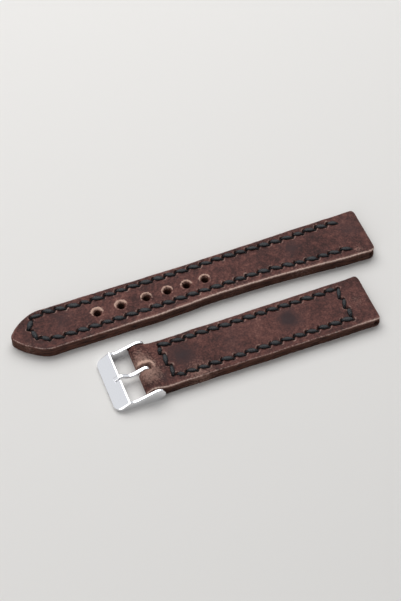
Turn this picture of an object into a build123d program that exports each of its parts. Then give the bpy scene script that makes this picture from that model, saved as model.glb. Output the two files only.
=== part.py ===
from build123d import *
import os
from math import asin, atan2, cos, degrees, hypot, pi, sin

os.makedirs("parts", exist_ok=True)

# A two-piece leather watch strap lying flat. +X runs towards the ends that take the watch,
# +Y from the short buckle half to the long holed half, +Z up. The origin is under the middle
# of the whole object. All sizes are in millimetres.

# Where the two halves lie
centreline_spacing = 24.7
lug_end_lead = 10.1

# Leather sizes that both halves share
lug_width = 18.0
lug_corner_radius = 1.6
lug_flap_length = 14.0
lug_channel_radius = 1.0

# Long half, with the adjusting holes
long_length = 119.5
long_thickness = 4.0
long_lining_thickness = 2.0
long_edge_radius = 1.0
tail_width = 15.6
tail_parallel_length = 58.0
tip_depth = 9.8
tip_sagitta = 1.2
tip_apex_drift = 0.7
tip_apex_radius = 1.4
tip_shoulder_radius = 8.0
taper_radius = 150.0
tip_blunting = 0.24
hole_radius = 1.1
first_hole_from_tip = 27.7
hole_pitch = 7.16
hole_gap_shares = (1.09, 1.17, 0.98, 0.89, 0.87)

# Short half, with the buckle
short_length = 77.5
short_thickness = 3.6
short_lining_thickness = 1.8
short_edge_radius = 0.8
buckle_end_width = 17.2
fold_radius = 2.4
fold_flap_length = 14.0
fold_rise_length = 5.4
short_taper_lead = 3.0
fold_channel_radius = 1.0
slot_width = 2.6
slot_reach = 2.4

# Saddle stitch
thread_radius = 0.4
thread_bend_radius = 0.46
thread_float = 0.04
stitch_pitch = 4.0
stitch_lean = 0.5
slit_clearance = 0.06
groove_depth = 0.9
groove_clearance = 0.1
thread_end_share = 0.7
long_row_spacing = 10.9
long_row_drift = 0.4
long_row_lug_margin = 7.2
long_row_tip_margin = 5.6
short_box_length = 60.0
short_box_width = 12.0
short_box_lug_margin = 8.7
short_box_drift = 0.4

# Buckle frame
frame_inner_width = 17.7
arm_thickness = 0.95
arm_reach = 3.2
arm_end_height = 4.7
arm_end_radius = 2.3
arm_top_length = 3.0
arm_shoulder_radius = 2.0
arm_dip_offset = 1.5
arm_dip_height = 2.6
arm_dip_radius = 2.0
arm_edge_radius = 0.25
bar_rear_offset = 8.05
bar_front_offset = 12.65
bar_land = 0.35
bar_top_height = 3.4
bar_front_height = 0.85
bar_toe_offset = 1.8
bar_depth = 1.5
frame_corner_radius = 2.4
facet_crest_inset = 0.3
facet_front_inset = 0.62
facet_drop = 0.55
pin_hole_depth = 0.6
pin_hole_radius = 0.48
notch_width = 1.8
notch_depth = 0.35
notch_length = 1.8

# Buckle tongue
tongue_width = 1.35
tongue_thickness = 0.95
tongue_edge_radius = 0.35
tongue_loop_radius = 0.98
tongue_loop_start = 165
tongue_sag_offset = 4.5
tongue_sag_height = 2.15
tongue_crest_lead = 0.7
tongue_rest_gap = 0.06
tongue_tip_length = 1.5
tongue_sag_radius = 2.5
tongue_crest_radius = 1.4

# Spring bar
tube_radius = 0.9
tube_bore_radius = 0.62
tube_mouth_radius = 0.46
tube_lip = 0.5
tube_end_gap = 0.35
pin_radius = 0.42
pin_tip_gap = 0.1
pin_tip_bevel = 0.12
pin_head_radius = 0.56
pin_head_length = 1.8
pin_head_gap = 0.02
spring_radius = 0.44
spring_wire_radius = 0.09
spring_turns = 18
spring_end_gap = 0.03

# Every cut runs past the faces it opens by this much, and two places closer than this are one
overrun = 1.0
tolerance = 0.001

# Angles, in degrees
upright = 90
full_turn = 360

frame_width = frame_inner_width + 2 * arm_thickness
side_shift = (frame_width - lug_width) / 4
long_y = centreline_spacing / 2 + side_shift
short_y = -centreline_spacing / 2 + side_shift
tip_x = -long_length / 2
long_lug_x = long_length / 2
short_lug_x = long_lug_x - lug_end_lead
fold_nose_x = short_lug_x - short_length
bar_axis_x = fold_nose_x + fold_radius
bar_axis_z = fold_radius
fold_height = 2 * fold_radius
fold_end_x = bar_axis_x + fold_rise_length
bar_rear_x = bar_axis_x - bar_rear_offset
bar_crest_x = bar_rear_x - bar_land
bar_front_x = bar_axis_x - bar_front_offset
bar_toe_x = bar_front_x + bar_toe_offset
bar_slope = atan2(bar_top_height - bar_front_height, bar_crest_x - bar_front_x)
bar_face_length = hypot(bar_top_height - bar_front_height, bar_crest_x - bar_front_x)
arm_end_x = bar_axis_x + arm_reach
low_arm_y = short_y - frame_inner_width / 2
high_arm_y = short_y + frame_inner_width / 2


def across(profile, width, centre_y):
    """Extrude an X-Z face equally both ways along Y about centre_y."""
    return Pos(0, centre_y, 0) * extrude(profile, width / 2, both=True)


def xz_face(edges):
    """A face from edges drawn in X-Z, with the second coordinate as the height."""
    return Plane.XZ * make_face(edges)


def polygon_xz(points):
    """A straight-sided face in X-Z."""
    return xz_face([Line(a, b) for a, b in zip(points, points[1:] + points[:1])])


def rod(radius, x, z, low_y, high_y):
    """A round bar along Y from low_y to high_y."""
    return extrude(Plane((x, low_y, z), z_dir=(0, 1, 0)) * Circle(radius), high_y - low_y)


def block(low, high):
    """A box between two opposite corners."""
    size = [b - a for a, b in zip(low, high)]
    middle = [(a + b) / 2 for a, b in zip(low, high)]
    return Pos(*middle) * Box(*size)


def at_x(face, x):
    """The corners of a flat face that lie at one x."""
    return [corner for corner in face.vertices() if abs(corner.X - x) < tolerance]


def long_outline():
    """The long half from above: parallel tail, taper to the lug end and a blunt point."""
    shoulder_x = tip_x + tip_depth
    taper_x = tip_x + tail_parallel_length
    upper = long_y + tail_width / 2
    lower = long_y - tail_width / 2
    apex = (tip_x - tip_blunting, long_y + tip_apex_drift)
    corners = [
        (shoulder_x, lower),
        (taper_x, lower),
        (long_lug_x, long_y - lug_width / 2),
        (long_lug_x, long_y + lug_width / 2),
        (taper_x, upper),
        (shoulder_x, upper),
    ]
    sides = [Line(a, b) for a, b in zip(corners, corners[1:])]
    tip = [
        SagittaArc((shoulder_x, upper), apex, -tip_sagitta),
        SagittaArc(apex, (shoulder_x, lower), -tip_sagitta),
    ]
    face = make_face(sides + tip)
    face = fillet(at_x(face, long_lug_x), lug_corner_radius)
    face = fillet(at_x(face, taper_x), taper_radius)
    face = fillet(at_x(face, shoulder_x), tip_shoulder_radius)
    return fillet(at_x(face, apex[0]), tip_apex_radius)


def short_outline():
    """The short half from above, a little narrower where it passes between the arms."""
    taper_x = fold_end_x + short_taper_lead
    corners = [
        (fold_nose_x - overrun, short_y - buckle_end_width / 2),
        (taper_x, short_y - buckle_end_width / 2),
        (short_lug_x, short_y - lug_width / 2),
        (short_lug_x, short_y + lug_width / 2),
        (taper_x, short_y + buckle_end_width / 2),
        (fold_nose_x - overrun, short_y + buckle_end_width / 2),
    ]
    face = make_face([Line(a, b) for a, b in zip(corners, corners[1:] + corners[:1])])
    face = fillet(at_x(face, short_lug_x), lug_corner_radius)
    return fillet(at_x(face, taper_x), taper_radius)


def long_profile():
    """Side view of the long half: flat, with a round fold at the lug end."""
    nose_x = long_lug_x - long_thickness / 2
    start_x = tip_x - overrun
    return xz_face([
        Line((start_x, 0), (nose_x, 0)),
        ThreePointArc((nose_x, 0), (long_lug_x, long_thickness / 2), (nose_x, long_thickness)),
        Line((nose_x, long_thickness), (start_x, long_thickness)),
        Line((start_x, long_thickness), (start_x, 0)),
    ])


def short_profile():
    """Side view of the short half's flat length, with a round fold at the lug end."""
    nose_x = short_lug_x - short_thickness / 2
    return xz_face([
        Line((fold_end_x, 0), (nose_x, 0)),
        ThreePointArc((nose_x, 0), (short_lug_x, short_thickness / 2), (nose_x, short_thickness)),
        Line((nose_x, short_thickness), (fold_end_x, short_thickness)),
        Line((fold_end_x, short_thickness), (fold_end_x, 0)),
    ])


def fold_profile():
    """Side view of the fatter fold round the buckle's bar."""
    ease = Spline(
        (fold_end_x, short_thickness), (bar_axis_x, fold_height),
        tangents=((-1, 0), (-1, 0)),
    )
    return xz_face([
        Line((bar_axis_x, 0), (fold_end_x, 0)),
        Line((fold_end_x, 0), (fold_end_x, short_thickness)),
        ease,
        ThreePointArc((bar_axis_x, fold_height), (fold_nose_x, fold_radius), (bar_axis_x, 0)),
    ])


def short_body():
    """The short half's leather in one piece, before anything is cut from it."""
    slab = extrude(short_outline(), short_thickness)
    slab = fillet(slab.faces().sort_by(Axis.Z)[-1].edges(), short_edge_radius)
    slab &= across(short_profile(), lug_width + 2 * overrun, short_y)
    fold = across(fold_profile(), buckle_end_width, short_y)
    sides = fold.faces().sort_by(Axis.Y)
    round_edges = [
        edge for edge in sides[0].edges() + sides[-1].edges()
        if (edge @ (1 / 2)).X < fold_end_x - tolerance
    ]
    return slab + fillet(round_edges, short_edge_radius)


def stitch_stations(path, count, closed):
    """Hole places at even steps along a path, each with the unit vector across the path."""
    steps = count if closed else count + 1
    points = [path @ (i / count) for i in range(steps)]
    stations = []
    for i, point in enumerate(points):
        before = points[i - 1] if closed or i > 0 else point
        after = points[(i + 1) % steps] if closed or i < count else point
        along = (after - before).normalized()
        stations.append((point, Vector(-along.Y, along.X, 0)))
    return stations + stations[:1] if closed else stations


def thread_leg(stations, top_z, bottom_z, starts_on_top):
    """Corner points of one end of the thread, which takes every other stitch on top."""
    corners = []
    for i, ((point, across_path), (ahead, across_ahead)) in enumerate(zip(stations, stations[1:])):
        on_top = (i % 2 == 0) == starts_on_top
        lean = stitch_lean if on_top else -stitch_lean
        height = top_z if on_top else bottom_z
        start = point + across_path * (stitch_lean if i == 0 else lean)
        end = ahead - across_ahead * lean
        if i == len(stations) - 2 and not on_top:
            end = start + (end - start) * thread_end_share
        corners += [Vector(start.X, start.Y, height), Vector(end.X, end.Y, height)]
    if on_top:
        corners.append(Vector(end.X, end.Y, bottom_z + thread_radius))
    return corners


def saddle_thread(stations, thickness):
    """One waxed thread sewn with both of its ends, which cross in every hole."""
    top_z = thickness + thread_radius + thread_float
    bottom_z = groove_depth - thread_radius - thread_float
    first = thread_leg(stations, top_z, bottom_z, True)
    second = thread_leg(stations, top_z, bottom_z, False)
    path = FilletPolyline(*(second[::-1] + first), radius=thread_bend_radius)
    start = Plane(path @ 0, z_dir=path % 0)
    thread = sweep(start * Circle(thread_radius), path=path)
    expected = pi * thread_radius ** 2 * path.length
    print(f"thread {path.length:.1f} long, volume {thread.volume:.2f} against {expected:.2f}")
    return thread


def stitch_cuts(stations, thickness, groove_face):
    """Slits for the two crossing threads, and the groove that sinks them below."""
    width = 2 * (thread_radius + slit_clearance)
    length = 2 * stitch_lean + width
    height = thickness + 2 * overrun
    slit = Pos(0, 0, thickness / 2) * extrude(SlotOverall(length, width), height / 2, both=True)
    groove = extrude(Pos(0, 0, groove_depth) * groove_face, -groove_depth - overrun)
    slits = [Plane(p, x_dir=across, z_dir=(0, 0, 1)) * slit for p, across in stations]
    return groove, slits


def long_stitch_line(half_width, end_x):
    """Edges of two rows that meet in a half circle round the tip."""
    high = long_row_y + half_width
    low = long_row_y - half_width
    return [
        Line((end_x, high), (row_bend_x, high)),
        ThreePointArc((row_bend_x, high), (row_bend_x - half_width, long_row_y), (row_bend_x, low)),
        Line((row_bend_x, low), (end_x, low)),
    ]


def long_groove_face():
    """The strip round the long half's stitch line."""
    half_width = stitch_lean + thread_radius + groove_clearance
    end_x = row_end_x + half_width
    faces = []
    for half in (half_row + half_width, half_row - half_width):
        closing = Line((end_x, long_row_y - half), (end_x, long_row_y + half))
        faces.append(make_face(long_stitch_line(half, end_x) + [closing]))
    return faces[0] - faces[1]


def short_groove_face():
    """The strip round the short half's stitched box."""
    half_width = stitch_lean + thread_radius + groove_clearance
    middle = Pos((box_low_x + box_high_x) / 2, (box_low_y + box_high_y) / 2)
    outside = Rectangle(short_box_length + 2 * half_width, short_box_width + 2 * half_width)
    inside = Rectangle(short_box_length - 2 * half_width, short_box_width - 2 * half_width)
    return middle * (outside - inside)


# Stitch line of the long half: two rows joined round the tip
long_row_y = long_y + long_row_drift
row_end_x = long_lug_x - long_row_lug_margin
row_bend_x = tip_x + long_row_tip_margin + long_row_spacing / 2
half_row = long_row_spacing / 2
long_path = Wire(long_stitch_line(half_row, row_end_x))
long_stations = stitch_stations(long_path, round(long_path.length / stitch_pitch), False)

# Stitch line of the short half: a closed box
box_high_x = short_lug_x - short_box_lug_margin
box_low_x = box_high_x - short_box_length
box_high_y = short_y + short_box_drift + short_box_width / 2
box_low_y = box_high_y - short_box_width
short_corners = [
    (box_high_x, box_high_y), (box_low_x, box_high_y),
    (box_low_x, box_low_y), (box_high_x, box_low_y),
]
short_path = Wire([
    Line(a, b) for a, b in zip(short_corners, short_corners[1:] + short_corners[:1])
])
short_stations = stitch_stations(short_path, round(short_path.length / stitch_pitch), True)

hole_x = [tip_x + first_hole_from_tip]
for share in hole_gap_shares:
    hole_x.append(hole_x[-1] + share * hole_pitch)


def long_leather():
    """Outer layer and lining of the long half, punched, slit and folded at the lug end."""
    outline = long_outline()
    whole = extrude(outline, long_thickness)
    whole = fillet(whole.faces().sort_by(Axis.Z)[-1].edges(), long_edge_radius)
    whole &= across(long_profile(), lug_width + 2 * overrun, long_y)
    channel_x = long_lug_x - long_thickness / 2
    whole -= rod(
        lug_channel_radius, channel_x, long_thickness / 2,
        long_y - lug_width / 2 - overrun, long_y + lug_width / 2 + overrun,
    )
    for x in hole_x:
        punch = Pos(x, long_y, long_thickness / 2) * Cylinder(
            hole_radius, long_thickness + 2 * overrun
        )
        whole -= punch
    groove, slits = stitch_cuts(long_stations, long_thickness, long_groove_face())
    whole = whole - groove - slits
    below = block(
        (tip_x - overrun, long_y - lug_width, -overrun),
        (long_lug_x - lug_flap_length, long_y + lug_width, long_lining_thickness),
    )
    return whole - below, whole & below


def short_leather():
    """Outer layer and lining of the short half, folded round the bar and the lug end."""
    whole = short_body()
    channel_x = short_lug_x - short_thickness / 2
    low_y = short_y - lug_width / 2 - overrun
    high_y = short_y + lug_width / 2 + overrun
    whole -= rod(lug_channel_radius, channel_x, short_thickness / 2, low_y, high_y)
    whole -= rod(fold_channel_radius, bar_axis_x, bar_axis_z, low_y, high_y)
    whole -= block(
        (fold_nose_x - overrun, short_y - slot_width / 2, -overrun),
        (bar_axis_x + slot_reach, short_y + slot_width / 2, fold_height + overrun),
    )
    groove, slits = stitch_cuts(short_stations, short_thickness, short_groove_face())
    whole = whole - groove - slits
    below = block(
        (bar_axis_x + fold_flap_length, short_y - lug_width, -overrun),
        (short_lug_x - lug_flap_length, short_y + lug_width, short_lining_thickness),
    )
    return whole - below, whole & below


def on_bar_face(along, above):
    """X and Z of a point by its distance up the sloping face and its height off the face."""
    x = bar_front_x + along * cos(bar_slope) - above * sin(bar_slope)
    z = bar_front_height + along * sin(bar_slope) + above * cos(bar_slope)
    return x, z


def frame_arm(centre_y):
    """One side arm: it dips behind the bar and rises to a round lobe at its rear end."""
    top_and_lobe = FilletPolyline(
        (bar_rear_x, bar_top_height),
        (bar_rear_x + arm_dip_offset, arm_dip_height),
        (arm_end_x - arm_top_length, arm_end_height),
        (arm_end_x, arm_end_height),
        (arm_end_x, 0),
        (bar_rear_x, 0),
        radius=(arm_dip_radius, arm_shoulder_radius, arm_end_radius, arm_end_radius),
    )
    front = Polyline(
        (bar_rear_x, 0),
        (bar_toe_x, 0),
        (bar_front_x, bar_front_height),
        (bar_crest_x, bar_top_height),
        (bar_rear_x, bar_top_height),
    )
    arm = across(xz_face(top_and_lobe.edges() + front.edges()), arm_thickness, centre_y)
    sides = arm.faces().sort_by(Axis.Y)
    rims = [e for e in sides[0].edges() + sides[-1].edges() if (e @ (1 / 2)).X > bar_rear_x]
    return fillet(rims, arm_edge_radius)


def frame_bar():
    """The sloping cross bar, open underneath, with a narrow flat land along its rear edge."""
    section = polygon_xz([
        (bar_toe_x, 0),
        (bar_rear_x, bar_top_height - bar_depth / cos(bar_slope)),
        (bar_rear_x, bar_top_height),
        (bar_crest_x, bar_top_height),
        (bar_front_x, bar_front_height),
    ])
    return across(section, frame_width, short_y)


def corner_facet(side):
    """The block above the narrow facet along one end of the bar's face."""
    outer = frame_width / 2
    start = on_bar_face(bar_face_length, 0)
    finish = on_bar_face(0, 0)
    start = Vector(start[0], short_y + side * (outer - facet_crest_inset), start[1])
    finish = Vector(finish[0], short_y + side * (outer - facet_front_inset), finish[1])
    corner = Vector(bar_front_x, short_y + side * outer, bar_front_height - facet_drop)
    normal = (finish - start).cross(corner - start).normalized()
    if normal.Z < 0:
        normal = -normal
    facet = Plane(start, x_dir=finish - start, z_dir=normal)
    return facet * Pos(0, 0, frame_width / 2) * Box(frame_width, frame_width, frame_width)


def buckle_frame():
    """Arms and bar in one piece, with blind holes for the spring bar's pins."""
    frame = frame_bar()
    for centre_y in (low_arm_y - arm_thickness / 2, high_arm_y + arm_thickness / 2):
        frame += frame_arm(centre_y)
    plan = Pos((bar_front_x + arm_end_x) / 2, short_y) * Rectangle(
        arm_end_x - bar_front_x, frame_width
    )
    plan = fillet(at_x(plan, bar_front_x), frame_corner_radius)
    frame &= extrude(plan, arm_end_height)
    frame -= [corner_facet(-1), corner_facet(1)]
    notch_start = bar_face_length - notch_length
    frame -= across(
        polygon_xz([
            on_bar_face(notch_start, -notch_depth),
            on_bar_face(bar_face_length + overrun, -notch_depth),
            on_bar_face(bar_face_length + overrun, overrun),
            on_bar_face(notch_start, overrun),
        ]),
        notch_width, short_y,
    )
    frame -= rod(
        pin_hole_radius, bar_axis_x, bar_axis_z,
        low_arm_y - pin_hole_depth, high_arm_y + pin_hole_depth,
    )
    return frame


def buckle_tongue():
    """Strip curled round the spring bar, dipping and then hooked over the bar's edge."""
    loop = tongue_loop_radius + tongue_thickness / 2
    sag = (bar_axis_x - tongue_sag_offset, tongue_sag_height)
    rise = bar_axis_z - tongue_sag_height
    dip = atan2(rise, tongue_sag_offset) + asin(loop / hypot(rise, tongue_sag_offset))
    leave = (bar_axis_x - loop * sin(dip), bar_axis_z + loop * cos(dip))
    off_face = tongue_rest_gap + tongue_thickness / 2 - notch_depth
    crest = on_bar_face(bar_face_length + tongue_crest_lead, off_face)
    tip = on_bar_face(bar_face_length - tongue_tip_length, off_face)
    turn = full_turn + upright + degrees(dip) - tongue_loop_start
    curl = CenterArc((bar_axis_x, bar_axis_z), loop, tongue_loop_start, turn)
    shank = FilletPolyline(leave, sag, crest, tip, radius=(tongue_sag_radius, tongue_crest_radius))
    path = Pos(0, short_y, 0) * (Plane.XZ * Wire(curl.edges() + shank.edges()))
    start = Plane(path @ 0, x_dir=(0, 1, 0), z_dir=path % 0)
    section = RectangleRounded(tongue_width, tongue_thickness, tongue_edge_radius)
    return sweep(start * section, path=path)


tube_low_y = low_arm_y + tube_end_gap
tube_high_y = high_arm_y - tube_end_gap
head_offset = tube_lip + pin_head_gap


def spring_bar_tube():
    """Hollow tube whose narrowed mouths keep the pins in."""
    tube = rod(tube_radius, bar_axis_x, bar_axis_z, tube_low_y, tube_high_y)
    tube -= rod(
        tube_bore_radius, bar_axis_x, bar_axis_z, tube_low_y + tube_lip, tube_high_y - tube_lip
    )
    return tube - rod(tube_mouth_radius, bar_axis_x, bar_axis_z, tube_low_y, tube_high_y)


def spring_bar_pin(side):
    """Headed pin whose tip sits in one arm; side is -1 for the near arm and 1 for the far."""
    arm_y = short_y + side * frame_inner_width / 2
    tip_y = arm_y + side * (pin_hole_depth - pin_tip_gap)
    head_y = arm_y - side * (tube_end_gap + head_offset)
    back_y = head_y - side * pin_head_length
    shank = rod(pin_radius, bar_axis_x, bar_axis_z, min(tip_y, head_y), max(tip_y, head_y))
    tip_edges = shank.edges().filter_by(GeomType.CIRCLE).sort_by(Axis.Y)
    shank = chamfer(tip_edges[-1] if side > 0 else tip_edges[0], pin_tip_bevel)
    head = rod(pin_head_radius, bar_axis_x, bar_axis_z, min(head_y, back_y), max(head_y, back_y))
    return shank + head


def spring_bar_spring():
    """Compression spring between the two pin heads."""
    end_offset = head_offset + pin_head_length + spring_end_gap + spring_wire_radius
    low_y = tube_low_y + end_offset
    length = tube_high_y - end_offset - low_y
    coil = Helix(
        length / spring_turns, length, spring_radius,
        center=(bar_axis_x, low_y, bar_axis_z), direction=(0, 1, 0),
    )
    start = Plane(coil @ 0, z_dir=coil % 0)
    return sweep(start * Circle(spring_wire_radius), path=coil, is_frenet=True)


long_outer, long_lining = long_leather()
short_outer, short_lining = short_leather()
pieces = {
    "long_outer_leather": long_outer,
    "long_lining_leather": long_lining,
    "long_saddle_thread": saddle_thread(long_stations, long_thickness),
    "short_outer_leather": short_outer,
    "short_lining_leather": short_lining,
    "short_saddle_thread": saddle_thread(short_stations, short_thickness),
    "buckle_frame": buckle_frame(),
    "buckle_tongue": buckle_tongue(),
    "spring_bar_tube": spring_bar_tube(),
    "spring_bar_near_pin": spring_bar_pin(-1),
    "spring_bar_far_pin": spring_bar_pin(1),
    "spring_bar_spring": spring_bar_spring(),
}
for name, piece in pieces.items():
    export_step(piece, f"parts/{name}.step")
    print(name, f"{piece.volume:.1f} mm3", piece.bounding_box())
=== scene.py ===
"""A hand-sewn leather watch strap in two halves, laid flat beside each other.

Every size is in millimetres until a mesh is written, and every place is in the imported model's
frame: +X towards the ends that take the watch, +Y from the short half to the long one, +Z up.
"""
from __future__ import annotations

import logging
import math
import random
from dataclasses import dataclass, field
from enum import Enum
from typing import Callable, Sequence

import bmesh
import bpy
import numpy as np
from mathutils import Matrix, Vector, noise
from mathutils.geometry import delaunay_2d_cdt
from mathutils.kdtree import KDTree

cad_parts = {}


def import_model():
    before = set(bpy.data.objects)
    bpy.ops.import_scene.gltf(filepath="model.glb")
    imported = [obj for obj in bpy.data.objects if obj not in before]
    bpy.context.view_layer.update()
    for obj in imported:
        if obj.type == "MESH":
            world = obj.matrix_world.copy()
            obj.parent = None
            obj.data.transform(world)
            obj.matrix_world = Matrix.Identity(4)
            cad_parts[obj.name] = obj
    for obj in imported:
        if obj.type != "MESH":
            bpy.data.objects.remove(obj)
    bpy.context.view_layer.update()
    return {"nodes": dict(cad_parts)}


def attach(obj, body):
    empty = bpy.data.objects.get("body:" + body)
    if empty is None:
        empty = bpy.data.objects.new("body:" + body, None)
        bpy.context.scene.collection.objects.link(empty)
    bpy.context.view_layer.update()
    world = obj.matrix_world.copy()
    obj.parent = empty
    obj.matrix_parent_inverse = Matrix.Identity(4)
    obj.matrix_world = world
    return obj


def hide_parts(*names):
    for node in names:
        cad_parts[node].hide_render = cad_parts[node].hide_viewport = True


LOG = logging.getLogger("strap")
METRES_PER_MM = 0.001
# Two places closer than this are one, in millimetres
TINY = 1e-6
# Step at which an outline is followed to measure distances from it, in millimetres
TRACE_STEP = 0.1
# A face whose normal's Z is past this looks up, or down where it is negative
FACING = 0.7


def linear(colour: str) -> tuple[float, float, float, float]:
    """Turns an sRGB hex colour into linear light.

    Args:
        colour: Six hex digits after a hash.

    Returns:
        Red, green, blue and a full alpha.
    """
    parts = [int(colour[i:i + 2], 16) / 255 for i in (1, 3, 5)]
    light = [c / 12.92 if c <= 0.04045 else ((c + 0.055) / 1.055) ** 2.4 for c in parts]
    return (*light, 1.0)


def per_metre(size: float) -> float:
    """Texture scale that gives a pattern about this many millimetres across."""
    return 1 / (size * METRES_PER_MM)


def ripple(x: float, y: float, z: float, size: float) -> float:
    """Smooth noise between about -1 and 1, with bumps about size millimetres across."""
    return noise.noise(Vector((x, y, z)) / size)


def ripples(points: np.ndarray, size: float, seed: float = 0.0) -> np.ndarray:
    """The same noise at many points, moved sideways by a seed."""
    return np.array([ripple(x + seed, y - seed, z, size) for x, y, z in points])


def ease(low: float, high: float, value: np.ndarray | float) -> np.ndarray:
    """Smooth step from 0 at low to 1 at high."""
    t = np.clip((np.asarray(value, float) - low) / (high - low), 0, 1)
    return t * t * (3 - 2 * t)


def hump(distance: np.ndarray, reach: float, power: float = 2.0) -> np.ndarray:
    """1 at no distance, falling smoothly to nothing a few reaches away."""
    return np.exp(-((distance / reach) ** power))


def resample(loop: np.ndarray, step: float) -> np.ndarray:
    """Spaces a closed loop's points evenly.

    Args:
        loop: Corner points, without the first one repeated.
        step: Distance wanted between neighbours.

    Returns:
        The same loop with even steps.
    """
    closed = np.vstack([loop, loop[:1]])
    along = np.concatenate([[0], np.cumsum(np.hypot(*np.diff(closed, axis=0).T))])
    count = max(8, int(round(along[-1] / step)))
    at = np.linspace(0, along[-1], count, endpoint=False)
    return np.stack([np.interp(at, along, closed[:, i]) for i in (0, 1)], 1)


def resample_all(loops: Sequence[np.ndarray]) -> np.ndarray:
    """Close-set points along several loops."""
    return np.vstack([resample(loop, TRACE_STEP) for loop in loops])


def soften(loop: np.ndarray, window: float, step: float = 0.05) -> np.ndarray:
    """Rounds a closed loop's corners with a moving average.

    Args:
        loop: Corner points, without the first one repeated.
        window: Length that is averaged.
        step: Distance between the points of the result.

    Returns:
        The rounded loop.
    """
    even = resample(loop, step)
    reach = max(1, int(round(window / step / 2)))
    total = sum(np.roll(even, shift, axis=0) for shift in range(-reach, reach + 1))
    return total / (2 * reach + 1)


def loop_normals(loop: np.ndarray) -> np.ndarray:
    """Unit normals to the left of a closed loop, which is inward on a counter-clockwise one.

    Args:
        loop: Points of the loop.

    Returns:
        A normal per point.
    """
    ahead = np.roll(loop, -1, axis=0) - np.roll(loop, 1, axis=0)
    ahead /= np.hypot(*ahead.T)[:, None]
    return np.stack([-ahead[:, 1], ahead[:, 0]], 1)


def inside(points: np.ndarray, loop: np.ndarray) -> np.ndarray:
    """Which points lie inside a closed loop, by counting crossings.

    Args:
        points: Places, n by 2.
        loop: Points of the loop.

    Returns:
        True for each point inside.
    """
    x, y = points[:, 0], points[:, 1]
    within = np.zeros(len(points), bool)
    for (ax, ay), (bx, by) in zip(loop, np.roll(loop, -1, axis=0)):
        if ay != by:
            within ^= ((ay > y) != (by > y)) & (x < ax + (y - ay) * (bx - ax) / (by - ay))
    return within


def nearest(points: np.ndarray, targets: np.ndarray) -> np.ndarray:
    """Distance from each point to the nearest target, in two dimensions.

    Args:
        points: Places, n by 2.
        targets: Places to measure to, m by 2.

    Returns:
        A distance per point.
    """
    tree = KDTree(len(targets))
    for i, (x, y) in enumerate(targets):
        tree.insert((x, y, 0), i)
    tree.balance()
    return np.array([tree.find((x, y, 0))[2] for x, y in points])


def from_segments(points: np.ndarray, starts: np.ndarray, ends: np.ndarray) -> np.ndarray:
    """Distance from each point to the nearest of several straight segments.

    Args:
        points: Places, n by 2.
        starts: One end of each segment.
        ends: The other end of each.

    Returns:
        A distance per point.
    """
    best = np.full(len(points), np.inf)
    for a, b in zip(starts, ends):
        run = b - a
        t = np.clip(((points - a) @ run) / (run @ run), 0, 1)
        best = np.minimum(best, np.hypot(*(points - a - t[:, None] * run).T))
    return best


class Slot(Enum):
    """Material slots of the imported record."""

    OUTER = "outer_leather"
    LINING = "lining_leather"
    THREAD = "waxed_thread"
    STEEL = "polished_steel"
    BAR = "bar_steel"


class Mark(Enum):
    """What use and making have done to a place on the leather, and where highlights and shade
    are painted on it, kept as a number per point.
    """

    WEAR = "wear"
    # Paler where the leather is stretched by the slits, with a painted highlight on the raised
    # puckers
    STRETCH_AND_HIGHLIGHT = "pull"
    # Bare fibre round punched openings, with painted light on their far side
    BARE_FIBRE_AND_LIGHT = "raw"
    # Leather pressed down by the thread, with painted shade in the slits and round the stitches
    PRESS_AND_SHADE = "press"
    SMUDGE = "smudge"
    DRY = "dry"
    CUT = "cut"
    # Worn edge crest with a painted highlight along it
    CREST_WEAR_AND_HIGHLIGHT = "rim"


class Recipe:
    """The node tree of a material or a world, grown one node at a time."""

    def __init__(self, holder: bpy.types.Material | bpy.types.World) -> None:
        """Starts an empty tree.

        Args:
            holder: The material or world that the tree belongs to.
        """
        self.holder = holder
        self.holder.use_nodes = True
        self.tree = self.holder.node_tree
        self.tree.nodes.clear()

    def add(self, kind: str, inputs: dict | None = None, out: int | str = 0,
            stops: Sequence[tuple[float, str]] = (), **settings) -> bpy.types.NodeSocket | None:
        """Adds a node with its settings, input values and links.

        Args:
            kind: The node's type.
            inputs: Input name or number to a value, or to the output that feeds it.
            out: Name or number of the output that is wanted.
            stops: Places and hex colours, for a node with a colour ramp.
            settings: Properties of the node.

        Returns:
            The wanted output, or None for a node that has none.
        """
        node = self.tree.nodes.new(kind)
        for key, value in settings.items():
            setattr(node, key, value)
        for key, value in (inputs or {}).items():
            if isinstance(value, bpy.types.NodeSocket):
                self.tree.links.new(value, node.inputs[key])
            else:
                node.inputs[key].default_value = value
        for i, (place, colour) in enumerate(stops):
            while len(node.color_ramp.elements) <= i:
                node.color_ramp.elements.new(place)
            node.color_ramp.elements[i].position = place
            node.color_ramp.elements[i].color = linear(colour)
        return node.outputs[out] if node.outputs else None

    def surface(self, shader: bpy.types.NodeSocket) -> bpy.types.Material | bpy.types.World:
        """Ends the tree with its output node.

        Args:
            shader: The shader that feeds the output.

        Returns:
            The material or world, finished.
        """
        kind = "World" if isinstance(self.holder, bpy.types.World) else "Material"
        self.add(f"ShaderNodeOutput{kind}", {"Surface": shader})
        return self.holder


@dataclass(frozen=True)
class Rub:
    """A colour that shows where a mark and a pattern together pass a threshold."""

    mark: Mark
    tint: str
    pattern: str
    start: float
    full: float


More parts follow.
